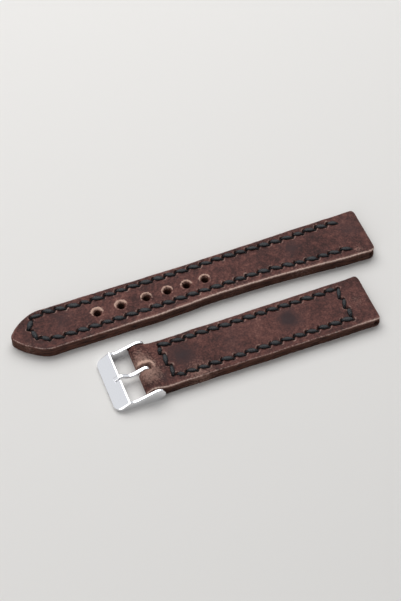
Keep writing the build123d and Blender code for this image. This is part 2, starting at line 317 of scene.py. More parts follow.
@dataclass(frozen=True)
class PullUpLeather:
    """Cowhide stuffed with wax and oil, which pales wherever it is bent or rubbed.

    Its face is dark and slightly waxy, with soft clouds of colour, tan where edges and folds
    are worn, and open brown fibre where it is cut. Its colour also holds painted highlights on
    worn edge crests, on the puckers beside the slits and on the far side of punched openings,
    and painted shade in the slits and round the stitches.
    """

    name: str = "waxed_pull_up_cowhide"
    tones: tuple[tuple[float, str], ...] = (
        (0.37, "#2c1b19"), (0.46, "#4a2f2c"), (0.53, "#613e39"), (0.61, "#7b534b"),
        (0.7, "#a17c6e"),
    )
    rubs: tuple[Rub, ...] = (
        Rub(Mark.CUT, "#5a3a30", "cloud", 0.8, 1.3),
        Rub(Mark.CUT, "#2b1914", "strand", 1.42, 1.62),
        Rub(Mark.SMUDGE, "#3a2b2c", "cloud", 0.6, 1.4),
        Rub(Mark.DRY, "#ab887b", "grain", 0.8, 1.42),
        # Stretched leather beside the slits, partly a painted highlight on the puckers
        Rub(Mark.STRETCH_AND_HIGHLIGHT, "#ab9085", "mottle", 1.06, 1.4),
        Rub(Mark.WEAR, "#8a655c", "mottle", 1.0, 1.6),
        Rub(Mark.WEAR, "#b3958a", "grain", 1.3, 1.75),
        # Painted highlight along the worn edge's crest
        Rub(Mark.CREST_WEAR_AND_HIGHLIGHT, "#d8bfb2", "grain", 0.95, 1.5),
        # Bare fibre round punched openings, paler on the far side by painted light
        Rub(Mark.BARE_FIBRE_AND_LIGHT, "#cfac9b", "grain", 0.98, 1.4),
        # Pressed leather darkened further by painted shade in the slits and round the stitches
        Rub(Mark.PRESS_AND_SHADE, "#100b0b", "mottle", 0.9, 1.3),
    )
    # Size, detail and roughness of each pattern. Grain, strands and pores are drawn coarser
    # than on real hide, so that they show.
    patterns: tuple[tuple[str, float, float, float], ...] = (
        ("cloud", 9.0, 3.0, 0.55), ("mottle", 1.7, 5.0, 0.68), ("grain", 0.6, 3.0, 0.6),
        ("strand", 0.7, 4.0, 0.6),
    )
    strand_scale: tuple[float, float, float] = (0.2, 0.6, 2.2)
    pore_size: float = 0.8
    mottle_share: float = 0.6
    grain_share: float = 0.32
    pore_share: float = 0.55
    strand_share: float = 0.35
    relief: float = 0.09
    bump: float = 0.75
    mottle_span: tuple[float, float] = (0.3, 0.7)
    roughness: tuple[float, float] = (0.56, 0.74)
    shine: float = 0.13

    def material(self) -> bpy.types.Material:
        """Builds the leather from clouds, grain and the rubbed places.

        Returns:
            The new material.
        """
        r = Recipe(bpy.data.materials.new(self.name))
        place = r.add("ShaderNodeTexCoord", out="Object")
        drawn = r.add("ShaderNodeMapping", {"Vector": place, "Scale": self.strand_scale})
        patterns = {
            name: r.add("ShaderNodeTexNoise", {
                "Vector": drawn if name == "strand" else place, "Scale": per_metre(size),
                "Detail": detail, "Roughness": rough,
            })
            for name, size, detail, rough in self.patterns
        }
        tone = r.add("ShaderNodeMix", {
            0: self.mottle_share, 2: patterns["cloud"], 3: patterns["mottle"],
        })
        speck = r.add("ShaderNodeMix", {0: self.grain_share, 2: tone, 3: patterns["grain"]})
        colour = r.add("ShaderNodeValToRGB", {"Fac": speck}, stops=self.tones)
        for rub in self.rubs:
            mark = r.add("ShaderNodeAttribute", out="Fac", attribute_name=rub.mark.value)
            total = r.add("ShaderNodeMath", {0: mark, 1: patterns[rub.pattern]}, operation="ADD")
            amount = r.add("ShaderNodeMapRange", {
                "Value": total, "From Min": rub.start, "From Max": rub.full,
            })
            colour = r.add("ShaderNodeMix", {0: amount, 6: colour, 7: linear(rub.tint)},
                           out=2, data_type="RGBA")
        pores = r.add("ShaderNodeTexVoronoi", {
            "Vector": place, "Scale": per_metre(self.pore_size),
        }, feature="SMOOTH_F1")
        height = r.add("ShaderNodeMix", {0: self.pore_share, 2: patterns["grain"], 3: pores})
        height = r.add("ShaderNodeMix", {0: self.strand_share, 2: height, 3: patterns["strand"]})
        normal = r.add("ShaderNodeBump", {
            "Height": height, "Strength": self.bump, "Distance": self.relief * METRES_PER_MM,
        })
        rough = r.add("ShaderNodeMapRange", {
            "Value": patterns["mottle"],
            "From Min": self.mottle_span[0], "From Max": self.mottle_span[1],
            "To Min": self.roughness[0], "To Max": self.roughness[1],
        })
        return r.surface(r.add("ShaderNodeBsdfPrincipled", {
            "Base Color": colour, "Roughness": rough, "Normal": normal,
            "Specular IOR Level": self.shine,
        }))


@dataclass(frozen=True)
class WaxedThread:
    """Twisted polyester cord drawn through black wax.

    It is nearly black, with a soft blue-grey gleam along the top of each ply.
    """

    name: str = "black_waxed_cord"
    ground: str = "#08090a"
    light: str = "#292c31"
    # Fibres are drawn coarser than real ones, so that they show
    fibre_size: float = 0.3
    fibre_detail: float = 3.0
    fibre_span: tuple[float, float] = (0.35, 0.7)
    relief: float = 0.08
    bump: float = 0.6
    roughness: float = 0.45
    shine: float = 0.3
    fuzz: float = 0.08
    fuzz_roughness: float = 0.4

    def material(self) -> bpy.types.Material:
        """Builds the thread from fine fibres under wax.

        Returns:
            The new material.
        """
        r = Recipe(bpy.data.materials.new(self.name))
        place = r.add("ShaderNodeTexCoord", out="Object")
        fibre = r.add("ShaderNodeTexNoise", {
            "Vector": place, "Scale": per_metre(self.fibre_size), "Detail": self.fibre_detail,
        })
        colour = r.add("ShaderNodeValToRGB", {"Fac": fibre}, stops=tuple(
            zip(self.fibre_span, (self.ground, self.light))))
        normal = r.add("ShaderNodeBump", {
            "Height": fibre, "Strength": self.bump, "Distance": self.relief * METRES_PER_MM,
        })
        return r.surface(r.add("ShaderNodeBsdfPrincipled", {
            "Base Color": colour, "Roughness": self.roughness, "Normal": normal,
            "Specular IOR Level": self.shine, "Sheen Weight": self.fuzz,
            "Sheen Roughness": self.fuzz_roughness,
        }))


@dataclass(frozen=True)
class Steel:
    """Stainless steel, either buffed to a mirror or left as it was turned.

    The mirror shows the pale room in clear patches, a little blurred by fine buffing marks.
    """

    name: str
    colour: str
    roughness: tuple[float, float]
    # Marks are drawn coarser than real ones, as the blur that a reflection shows
    mark_size: float
    relief: float
    mark_detail: float = 4.0
    mark_scale: tuple[float, float, float] = (1.0, 0.15, 1.0)
    mark_span: tuple[float, float] = (0.35, 0.7)
    bump: float = 0.3

    def material(self) -> bpy.types.Material:
        """Builds the metal from fine marks drawn along the part.

        Returns:
            The new material.
        """
        r = Recipe(bpy.data.materials.new(self.name))
        place = r.add("ShaderNodeTexCoord", out="Object")
        drawn = r.add("ShaderNodeMapping", {"Vector": place, "Scale": self.mark_scale})
        marks = r.add("ShaderNodeTexNoise", {
            "Vector": drawn, "Scale": per_metre(self.mark_size), "Detail": self.mark_detail,
        })
        rough = r.add("ShaderNodeMapRange", {
            "Value": marks, "From Min": self.mark_span[0], "From Max": self.mark_span[1],
            "To Min": self.roughness[0], "To Max": self.roughness[1],
        })
        normal = r.add("ShaderNodeBump", {
            "Height": marks, "Strength": self.bump, "Distance": self.relief * METRES_PER_MM,
        })
        return r.surface(r.add("ShaderNodeBsdfPrincipled", {
            "Base Color": linear(self.colour), "Metallic": 1.0, "Roughness": rough,
            "Normal": normal,
        }))


def into_scene(name: str, data: bpy.types.ID) -> bpy.types.Object:
    """Adds an object to the scene.

    Args:
        name: The object's name.
        data: The mesh, lamp or camera that it holds.

    Returns:
        The new object.
    """
    thing = bpy.data.objects.new(name, data)
    bpy.context.scene.collection.objects.link(thing)
    return thing


def write_mesh(name: str, points: np.ndarray, faces: Sequence[Sequence[int]],
               material: bpy.types.Material,
               marks: dict[Mark, np.ndarray] | None = None) -> bpy.types.Object:
    """Makes a smooth-shaded object from points in millimetres.

    Args:
        name: The piece's name.
        points: Corner points, n by 3.
        faces: Corner numbers of each face.
        material: The finish.
        marks: Numbers per point that the finish reads.

    Returns:
        The new object, in the scene.
    """
    mesh = bpy.data.meshes.new(name)
    mesh.from_pydata((points * METRES_PER_MM).tolist(), [], [list(map(int, f)) for f in faces])
    for mark, values in (marks or {}).items():
        layer = mesh.attributes.new(mark.value, "FLOAT", "POINT")
        layer.data.foreach_set("value", np.asarray(values, np.float32))
    solid = bmesh.new()
    solid.from_mesh(mesh)
    bmesh.ops.recalc_face_normals(solid, faces=solid.faces)
    solid.to_mesh(mesh)
    solid.free()
    mesh.shade_smooth()
    mesh.materials.append(material)
    return into_scene(name, mesh)


def arc(middle: tuple[float, float], radius: float, start: float, end: float,
        step: float = 0.05) -> np.ndarray:
    """Points on a circular arc.

    Args:
        middle: The circle's middle.
        radius: Its radius.
        start: Angle of the first point, in degrees.
        end: Angle of the last point, in degrees.
        step: Distance wanted between neighbours.

    Returns:
        The points, n by 2.
    """
    count = max(8, int(abs(math.radians(end - start)) * radius / step))
    turn = np.radians(np.linspace(start, end, count))
    return np.stack([middle[0] + radius * np.cos(turn), middle[1] + radius * np.sin(turn)], 1)


def straight(start: tuple[float, float], end: tuple[float, float],
             step: float = 0.25) -> np.ndarray:
    """Points on a straight line."""
    count = max(2, int(math.dist(start, end) / step))
    return np.linspace(start, end, count)


class SideLine:
    """A sheet's finished face seen from the side, walked so that outward is on the left."""

    # The outward normal's Z past which a place is on the upper or lower side, or on a flat run
    TURNED: float = 0.05
    LEVEL: float = 0.995

    def __init__(self, parts: Sequence[np.ndarray], first: float,
                 thickness: Callable[[np.ndarray, np.ndarray], np.ndarray]) -> None:
        """Joins the parts into one line.

        Args:
            parts: Runs of points in X and Z.
            first: Distance along the line at its first point.
            thickness: Gives the leather's thickness from X and Z.
        """
        line = np.vstack(parts)
        keep = np.concatenate([[True], np.hypot(*np.diff(line, axis=0).T) > TINY])
        self.x, self.z = line[keep].T
        runs = np.hypot(np.diff(self.x), np.diff(self.z))
        self.u = first + np.concatenate([[0], np.cumsum(runs)])
        along_x, along_z = np.gradient(self.x, self.u), np.gradient(self.z, self.u)
        size = np.hypot(along_x, along_z)
        self.nx, self.nz = -along_z / size, along_x / size
        self.t = thickness(self.x, self.z)

    def at(self, values: np.ndarray, u: np.ndarray) -> np.ndarray:
        """One of the line's values at distances along it."""
        return np.interp(u, self.u, values)

    def place(self, u: np.ndarray, y: np.ndarray, depth: np.ndarray) -> np.ndarray:
        """Points in space.

        Args:
            u: Distance along the line.
            y: Place across the sheet.
            depth: Depth under the finished face.

        Returns:
            The points, n by 3.
        """
        x = self.at(self.x, u) - depth * self.at(self.nx, u)
        z = self.at(self.z, u) - depth * self.at(self.nz, u)
        return np.stack([x, y, z], 1)

    def top_u(self, x: float) -> float:
        """Distance along the line where its upper side passes X."""
        upper = self.nz > self.TURNED
        return float(np.interp(x, self.x[upper], self.u[upper]))

    def under_u(self, x: float) -> float:
        """Where the line's underside passes a place.

        Args:
            x: The place's X.

        Returns:
            Distance along the line.
        """
        lower = self.nz < -self.TURNED
        order = np.argsort(self.x[lower])
        return float(np.interp(x, self.x[lower][order], self.u[lower][order]))

    def steps(self, step: float, fine: float) -> np.ndarray:
        """Places along the line, closer together where it is round.

        Args:
            step: Distance between neighbours on a flat run.
            fine: Distance between them on a round one.

        Returns:
            Distances along the line.
        """
        places = [float(self.u[0])]
        while places[-1] < self.u[-1]:
            flat = all(abs(self.at(self.nz, places[-1] + ahead)) > self.LEVEL
                       for ahead in (0, fine * 2))
            places.append(places[-1] + (step if flat else fine))
        return np.array(places)


@dataclass
class Rim:
    """A closed edge of a sheet, with the leather on its left, and how far it is rounded over."""

    loop: np.ndarray
    radius: np.ndarray


@dataclass
class Sheet:
    """One thickness of leather, with a finished face, a back, cut edges and openings."""

    name: str
    side: SideLine
    rims: list[Rim]
    relief: Callable[[np.ndarray], np.ndarray]
    step: float = 0.32
    fine_step: float = 0.2
    back_step: float = 1.2
    # How far the grids stay from the loops, in steps at the front and fine steps at the back
    front_gap: float = 0.6
    back_gap: float = 1.5
    # The most that an edge is rounded over, as a share of the thickness
    most_rounding: float = 0.6
    # The back edge's rounding: how far in and how far short of the back, in radii
    back_radius: float = 0.26
    back_rounding: tuple[tuple[float, float], ...] = ((0.3, 0.3), (1.0, 0.0))
    rings: int = 5
    rows: int = 6
    # The cut edge's fibres: how far they stand out, their size, and scales along and down
    edge_roughness: float = 0.08
    fibre_size: float = 0.5
    fibre_scale: tuple[float, float] = (0.35, 3.0)
    flat: list[np.ndarray] = field(default_factory=list)
    depth: list[np.ndarray] = field(default_factory=list)
    lift: list[np.ndarray] = field(default_factory=list)
    faces: list = field(default_factory=list)
    count: int = 0

    def _add(self, flat: np.ndarray, depth: np.ndarray, lift: float) -> np.ndarray:
        """Adds points to the sheet.

        Args:
            flat: Places on the flat sheet.
            depth: Depth of each under the finished face.
            lift: How much of the relief they take.

        Returns:
            The points' numbers.
        """
        self.flat.append(flat)
        self.depth.append(np.broadcast_to(depth, len(flat)).astype(float))
        self.lift.append(np.full(len(flat), lift))
        self.count += len(flat)
        return np.arange(self.count - len(flat), self.count)

    def _join(self, one: np.ndarray, other: np.ndarray) -> None:
        """Faces between two loops of the same number of points."""
        self.faces.extend(zip(one, np.roll(one, -1), np.roll(other, -1), other))

    def _fill(self, loops: list[np.ndarray], u_steps: np.ndarray, v_steps: np.ndarray,
              clearance: float, depth: Callable[[np.ndarray], np.ndarray], lift: float) -> None:
        """Fills between loops of points with a square grid, and joins the two by triangles.

        Args:
            loops: Point numbers of the outline, then of each opening.
            u_steps: Grid places along the sheet.
            v_steps: Grid places across it.
            clearance: How far the grid stays from the loops.
            depth: Depth of the grid's points under the finished face, from their place along.
            lift: How much of the relief the grid's points take.
        """
        flat = np.vstack(self.flat)
        edges = [flat[loop] for loop in loops]
        grid = np.stack(np.meshgrid(u_steps, v_steps, indexing="ij"), -1)
        nodes = grid.reshape(-1, 2)
        good = inside(nodes, edges[0]) & (nearest(nodes, resample_all(edges)) > clearance)
        for edge in edges[1:]:
            good &= ~inside(nodes, edge)
        good = good.reshape(grid.shape[:2])
        cell = good[:-1, :-1] & good[1:, :-1] & good[1:, 1:] & good[:-1, 1:]
        used = np.zeros_like(good)
        for du, dv in ((0, 0), (1, 0), (1, 1), (0, 1)):
            used[du:du + cell.shape[0], dv:dv + cell.shape[1]] |= cell
        number = np.full(good.shape, -1)
        number[used] = self._add(grid[used], depth(grid[used][:, 0]), lift)
        i, j = np.nonzero(cell)
        quads = np.stack([
            number[i, j], number[i + 1, j], number[i + 1, j + 1], number[i, j + 1],
        ], 1)
        self.faces.extend(quads)
        sides: dict[tuple[int, int], int] = {}
        for quad in quads:
            for a, b in zip(quad, np.roll(quad, -1)):
                key = (min(a, b), max(a, b))
                sides[key] = sides.get(key, 0) + 1
        border = [key for key, times in sides.items() if times == 1]
        wanted = np.concatenate([*loops, np.unique(np.array(border, int).reshape(-1))])
        local = {int(n): k for k, n in enumerate(wanted)}
        links = [(local[a], local[b]) for a, b in border]
        for loop in loops:
            links += [(local[int(a)], local[int(b)]) for a, b in zip(loop, np.roll(loop, -1))]
        flat = np.vstack(self.flat)
        corners = [Vector(p) for p in flat[wanted]]
        places, _, triangles, origins, *_ = delaunay_2d_cdt(corners, links, [], 0, TINY, True)
        middles = np.array([np.mean([places[c] for c in tri], axis=0) for tri in triangles])
        keep = inside(middles, edges[0])
        for edge in edges[1:]:
            keep &= ~inside(middles, edge)
        iu = np.clip(np.searchsorted(u_steps, middles[:, 0]) - 1, 0, cell.shape[0] - 1)
        iv = np.clip(np.searchsorted(v_steps, middles[:, 1]) - 1, 0, cell.shape[1] - 1)
        keep &= ~cell[iu, iv]
        for tri, good_one in zip(triangles, keep):
            if good_one:
                self.faces.append([wanted[origins[c][0]] for c in tri])

    def build(self) -> tuple[np.ndarray, np.ndarray, np.ndarray, np.ndarray]:
        """Lays out every point and face.

        Returns:
            Points in space, their places on the flat sheet, their depths, and their relief shares.
        """
        fronts, backs = [], []
        wide, tall = self.fibre_scale
        for rim in self.rims:
            into = loop_normals(rim.loop)
            deep = self.side.at(self.side.t, rim.loop[:, 0])
            radius = np.minimum(rim.radius, deep * self.most_rounding)
            ring = []
            for k in range(self.rings + 1):
                turn = math.pi / 2 * k / self.rings
                flat = rim.loop + into * (radius * (1 - math.cos(turn)))[:, None]
                ring.append(self._add(flat, radius * (1 - math.sin(turn)), math.sin(turn)))
            for one, other in zip(ring, ring[1:]):
                self._join(one, other)
            last = ring[0]
            for k in range(1, self.rows + 1):
                share = k / self.rows
                depth = radius + (deep - self.back_radius - radius) * share
                rough = np.array([
                    ripple(u * wide, v * wide, d * tall, self.fibre_size)
                    for (u, v), d in zip(rim.loop, depth)
                ])
                row = self._add(rim.loop + into * (self.edge_roughness * rough)[:, None], depth, 0)
                self._join(last, row)
                last = row
            for share, drop in self.back_rounding:
                row = self._add(rim.loop + into * self.back_radius * share,
                                deep - self.back_radius * drop, 0)
                self._join(last, row)
                last = row
            fronts.append(ring[-1])
            backs.append(last)
        low = self.rims[0].loop[:, 1].min()
        high = self.rims[0].loop[:, 1].max()
        self._fill(fronts, self.side.steps(self.step, self.fine_step),
                   np.arange(low, high, self.step), self.step * self.front_gap,
                   lambda u: np.zeros(len(u)), 1.0)
        self._fill(backs, self.side.steps(self.back_step, self.fine_step),
                   np.arange(low, high, self.back_step), self.fine_step * self.back_gap,
                   lambda u: self.side.at(self.side.t, u), 0.0)
        flat = np.vstack(self.flat)
        depth, lift = np.concatenate(self.depth), np.concatenate(self.lift)
        base = self.side.place(flat[:, 0], flat[:, 1], depth)
        facing = self.side.at(self.side.nz, flat[:, 0])
        height = self.relief(np.column_stack([base, facing])) * lift
        return self.side.place(flat[:, 0], flat[:, 1], depth - height), flat, depth, lift


@dataclass
class Stitching:
    """One waxed thread sewn with both of its ends, as it shows on top and underneath."""

    path: np.ndarray
    count: int
    closed: bool
    lean: float = 0.55
    slit_slope: float = 0.42
    half_width: float = 0.82
    half_height: float = 0.42
    # A stitch narrows by this share at its ends, by this power, and keeps this share of height
    taper: float = 0.68
    taper_power: float = 1.9
    kept_height: float = 0.75
    rise: float = 0.1
    dive: float = 1.0
    dive_power: int = 5
    groove_height: float = 0.45
    under_size: float = 0.8
    plies: int = 3
    ply_depth: float = 0.48
    lay_length: float = 1.9
    around: int = 18
    along: int = 21
    # How uneven the handwork is: ends, stations, height and width
    jitter: float = 0.12
    wander: float = 0.3
    height_range: tuple[float, float] = (-0.04, 0.05)
    width_range: tuple[float, float] = (0.85, 1.14)
    seed: int = 7

    def __post_init__(self) -> None:
        """Finds the slit stations, and each stitch's ends on top and below."""
        steps = np.concatenate([[0], np.cumsum(np.hypot(*np.diff(self.path, axis=0).T))])
        at = np.linspace(0, steps[-1], self.count + 1)
        uneven = random.Random(self.seed)
        at[1:-1] += [uneven.uniform(-self.wander, self.wander) for _ in at[1:-1]]
        points = np.stack([np.interp(at, steps, self.path[:, i]) for i in (0, 1)], 1)
        if self.closed:
            points = points[:-1]
            ahead = np.roll(points, -1, axis=0) - np.roll(points, 1, axis=0)
        else:
            ahead = np.gradient(points, axis=0)
        ahead /= np.hypot(*ahead.T)[:, None]
        across = np.stack([-ahead[:, 1], ahead[:, 0]], 1)
        here = slice(None) if self.closed else slice(0, -1)
        self.points = points
        slit = across * self.lean + ahead * self.slit_slope
        self.top_starts = (points + slit)[here]
        self.top_ends = np.roll(points - slit, -1, axis=0)[here]
        seen = slice(None) if self.closed else slice(1, -1)
        self.slit_starts, self.slit_ends = (points - slit)[seen], (points + slit)[seen]
        under = ahead * self.slit_slope - across * self.lean
        self.under_starts = (points + under)[here]
        self.under_ends = np.roll(points - under, -1, axis=0)[here]

    def distances(self, flat: np.ndarray) -> list[np.ndarray]:
        """How far places are from the sewing.

        Args:
            flat: Places from above, n by 2.

        Returns:
            Distances from the row, from the stitches on top and from the slits.
        """
        return [from_segments(flat, starts, ends) for starts, ends in (
            (self.path[:-1], self.path[1:]), (self.top_starts, self.top_ends),
            (self.slit_starts, self.slit_ends),
        )]

    def _stitch(self, start: np.ndarray, end: np.ndarray, height: float, way: int, width: float,
                phase: float) -> tuple[np.ndarray, list]:
        """One stitch that arches over the leather and dives into it at both ends.

        Args:
            start: Place of one end.
            end: Place of the other.
            height: Height of its middle.
            way: 1 where it dives downwards, -1 where it dives upwards.
            width: Share of the full width.
            phase: Turn of the plies.

        Returns:
            Points and faces.
        """
        run = end - start
        length = math.hypot(*run)
        side = np.array([-run[1], run[0], 0]) / length
        t = np.linspace(-1, 1, self.along)
        line = np.column_stack([
            start[0] + run[0] * (t + 1) / 2, start[1] + run[1] * (t + 1) / 2,
            height - way * self.dive * np.abs(t) ** self.dive_power,
        ])
        ahead = np.gradient(line, axis=0)
        ahead /= np.linalg.norm(ahead, axis=1)[:, None]
        up = np.cross(ahead, side)
        turn = np.linspace(0, 2 * math.pi, self.around, endpoint=False)
        rings = []
        for place, lift, share in zip(line, up, t):
            swell = 1 - self.taper * abs(share) ** self.taper_power
            tall = self.kept_height + (1 - self.kept_height) * swell
            twist = phase + (share + 1) * length / 2 / self.lay_length * 2 * math.pi
            lobe = 1 - self.ply_depth * (1 - np.abs(np.cos(self.plies / 2 * (turn - twist))))
            wide = self.half_width * width * swell * lobe * np.cos(turn)
            high = self.half_height * tall * lobe * np.sin(turn)
            rings.append(place + wide[:, None] * side + high[:, None] * lift)
        points = np.vstack(rings)
        faces = [list(range(self.around))[::-1],
                 list(range(len(points) - self.around, len(points)))]
        for ring in range(self.along - 1):
            base = ring * self.around
            for k in range(self.around):
                after = (k + 1) % self.around
                faces.append([base + k, base + after, base + self.around + after,
                              base + self.around + k])
        return points, faces

    def build(self, name: str, thickness: float, material: bpy.types.Material) -> bpy.types.Object:
        """Makes every stitch on both sides as one piece.

        Args:
            name: The piece's name.
            thickness: Thickness of the leather that is sewn.
            material: The thread's finish.

        Returns:
            The new object.
        """
        rng = random.Random(self.seed)
        points, faces, count = [], [], 0
        runs = [(start, end, thickness + self.rise, 1)
                for start, end in zip(self.top_starts, self.top_ends)]
        runs += [(start, end, self.groove_height, -1)
                 for start, end in zip(self.under_starts, self.under_ends)]
        for start, end, height, way in runs:
            wander = [np.array([rng.uniform(-1, 1), rng.uniform(-1, 1)]) for _ in range(2)]
            size = 1 if way > 0 else self.under_size
            part, part_faces = self._stitch(
                start + wander[0] * self.jitter, end + wander[1] * self.jitter,
                height + (rng.uniform(*self.height_range) if way > 0 else 0), way,
                size * rng.uniform(*self.width_range), rng.uniform(0, 2 * math.pi),
            )
            points.append(part)
            faces += [[corner + count for corner in face] for face in part_faces]
            count += len(part)
        return write_mesh(name, np.vstack(points), faces, material)


@dataclass(frozen=True)
class Band:
    """A strip along an edge or seam: how far off its middle lies, its reach and its strength."""

    offset: float
    reach: float
    strength: float = 1.0
    power: float = 2.0

    def at(self, distance: np.ndarray) -> np.ndarray:
        """The strip's strength at each distance."""
        return self.strength * hump(distance - self.offset, self.reach, self.power)


@dataclass
class Spot:
    """A round patch on the leather: its middle, how far it reaches and how strong it is."""

    x: float
    y: float
    reach: float
    strength: float = 1.0

    def at(self, points: np.ndarray) -> np.ndarray:
        """The patch's strength at each point."""
        away = np.hypot(points[:, 0] - self.x, points[:, 1] - self.y)
        return self.strength * hump(away, self.reach)


def patches(spots: Sequence[Spot], points: np.ndarray) -> np.ndarray:
    """The strengths of several patches, added up at each point."""
    return sum((spot.at(points) for spot in spots), np.zeros(len(points)))


@dataclass
class StrapHalf:
    """What the long and the short half share: two leathers sewn together with one thread."""

    name: str
    body: str
    centre_y: float
    lug_x: float
    thickness: float
    lining_thickness: float
    edge_radius: float
    lug_width: float = 18.0
    lug_flap_length: float = 14.0
    channel_radius: float = 1.0
    under_radius: float = 0.3
    corner_cut: float = 1.5
    # Lengths over which the plan's corners and each sheet's own corners are eased
    corner_window: float = 3.0
    outer_window: float = 0.6
    lining_window: float = 0.5
    edge_step: float = 0.3
    lining_step: float = 0.42
    seam_gap: float = 0.05
    floor_gap: float = 0.005
    lug_tolerance: float = 0.002
    # Waves of the outline, as share, level and size, and of the face, as height, size and seed
    waviness: float = 0.13
    edge_waves: tuple[tuple[float, float, float], ...] = ((1.0, 3.0, 5.5), (0.45, 9.0, 1.3))
    face_waves: tuple[tuple[float, float, float], ...] = ((0.05, 7.0, 0.0), (0.025, 1.6, 5.0))
    # What the sewing does to the leather's height, within a distance of the thread
    near_thread: float = 3.3
    groove: Band = Band(0.0, 0.8, 0.85, 4.0)
    valley: Band = Band(0.0, 1.5, 0.16)
    press: Band = Band(0.0, 0.75, 0.2)
    slit: Band = Band(0.0, 0.34, 0.5)
    pucker: Band = Band(0.85, 0.3, 0.16)
    # Where wear and sewing show in the colour, with painted highlights on the edge crest and
    # the puckers and painted shade round the stitches. The top starts at this share of the
    # thickness.
    top_share: float = 0.6
    out_of_reach: float = 9.0
    wear_across: Band = Band(0.0, 1.5)
    wear_down: Band = Band(0.0, 0.9)
    # The painted highlight on the worn edge crest: its reach across the edge and down from the top
    crest_highlight_across: Band = Band(0.3, 0.3)
    crest_highlight_down: Band = Band(0.0, 0.42, power=3.0)
    # Strength of the stretched leather's paleness and the painted highlight on the puckers
    pull: float = 0.76
    stretched_and_lit_by_slit: Band = Band(0.7, 0.26)
    stretched_and_lit_by_stitch: Band = Band(0.95, 0.2, 0.8)
    # Pressed leather and painted shade round the stitches and in the slits
    pressed_and_shaded_by_stitch: Band = Band(0.0, 0.7)
    pressed_and_shaded_by_slit: Band = Band(0.0, 0.42)
    smudges: tuple[Spot, ...] = ()
    dry_places: tuple[Spot, ...] = ()

    def __post_init__(self) -> None:
        """Works out the lug roll and flap, the outline from above and the stitch line."""
        self.roll_x = self.lug_x - self.thickness / 2
        self.flap_x = self.lug_x - self.lug_flap_length
        loop = soften(self.outline(), self.corner_window)
        loop = np.roll(loop, -int(np.argmin(loop[:, 0])), axis=0)
        self.low_side, self.high_side = (
            run[:int(np.argmax(run[:, 0] > self.lug_x - self.lug_tolerance)) + 1]
            for run in (loop, loop[::-1])
        )
        self.thread = self.stitching()

    def outline(self) -> np.ndarray:
        """Corners of the half from above, counter-clockwise."""
        raise NotImplementedError

    def stitching(self) -> Stitching:
        """The thread along this half's stitch line."""
        raise NotImplementedError

    def limits(self, x: np.ndarray) -> tuple[np.ndarray, np.ndarray]:
        """The half's lowest and highest Y at each X."""
        return np.interp(x, *self.low_side.T), np.interp(x, *self.high_side.T)

    def wavy(self, loop: np.ndarray, side: SideLine) -> np.ndarray:
        """Moves an outline in and out a little, the same way on both leathers.

        Args:
            loop: The outline on the flat sheet.
            side: The sheet's side line.

        Returns:
            The moved outline.
        """
        x = side.at(side.x, loop[:, 0])
        out = [
            sum(share * ripple(a, b, level, size) for share, level, size in self.edge_waves)
            for a, b in zip(x, loop[:, 1])
        ]
        return loop - loop_normals(loop) * (self.waviness * np.array(out))[:, None]

    def relief(self, points: np.ndarray) -> np.ndarray:
        """How far the finished face stands out.

        Args:
            points: X, Y, Z and the normal's Z at each point.

        Returns:
            A height per point.
        """
        up, down = points[:, 3] > FACING, points[:, 3] < -FACING
        height = sum(
            high * ripples(points[:, :3], size, seed) for high, size, seed in self.face_waves)
        flat = points[:, :2]
        near = nearest(flat, self.thread.points) < self.near_thread
        over, under = up & near, down & near
        row, stitch, slit = self.thread.distances(flat[over])
        height[over] += (self.pucker.at(slit) - self.valley.at(row) - self.press.at(stitch)
                         - self.slit.at(slit))
        row = self.thread.distances(flat[under])[0]
        height[under] = -self.groove.at(row)
        return height

    def marks(self, points: np.ndarray, edge: np.ndarray, depth: np.ndarray,
              finished: np.ndarray) -> dict[Mark, np.ndarray]:
        """The marks of wear and sewing at each point, with painted highlights and painted shade.

        Args:
            points: Points in space.
            edge: Distance from the sheet's outline.
            depth: Depth under the finished face.
            finished: 1 on the finished face, down to 0 on the cut edge.

        Returns:
            A number for each mark and point.
        """
        flat = points[:, :2]
        top = points[:, 2] > self.thickness * self.top_share
        near = nearest(flat, self.thread.points) < self.near_thread
        stitch, slit = np.full((2, len(flat)), self.out_of_reach)
        stitch[near], slit[near] = self.thread.distances(flat[near])[1:]
        edge = np.maximum(edge, 0)
        worn = top * self.edge_wear(points)
        return {
            Mark.WEAR: worn * self.wear_across.at(edge) * self.wear_down.at(depth),
            # Painted highlight along the crest of the worn edge
            Mark.CREST_WEAR_AND_HIGHLIGHT: worn * self.crest_highlight_across.at(edge) * self.crest_highlight_down.at(depth),
            # Stretched leather and a painted highlight on the puckers beside slits and stitches
            Mark.STRETCH_AND_HIGHLIGHT: top * self.pull * np.maximum(
                self.stretched_and_lit_by_slit.at(slit), self.stretched_and_lit_by_stitch.at(stitch)),
            # Bare fibre round punched openings, with painted light on their far side
            Mark.BARE_FIBRE_AND_LIGHT: self.raw(points),
            # Pressed leather with painted shade in the slits and round the stitches
            Mark.PRESS_AND_SHADE: top * np.maximum(
                self.pressed_and_shaded_by_stitch.at(stitch), self.pressed_and_shaded_by_slit.at(slit)),
            Mark.SMUDGE: top * patches(self.smudges, points),
            Mark.DRY: patches(self.dry_places, points),
            Mark.CUT: 1 - finished,
        }

    def edge_wear(self, points: np.ndarray) -> np.ndarray:
        """How worn the upper edge is at each point."""
        raise NotImplementedError

    def raw(self, points: np.ndarray) -> np.ndarray:
        """Where bare fibre shows round what is punched, with painted light on its far side."""
        raise NotImplementedError

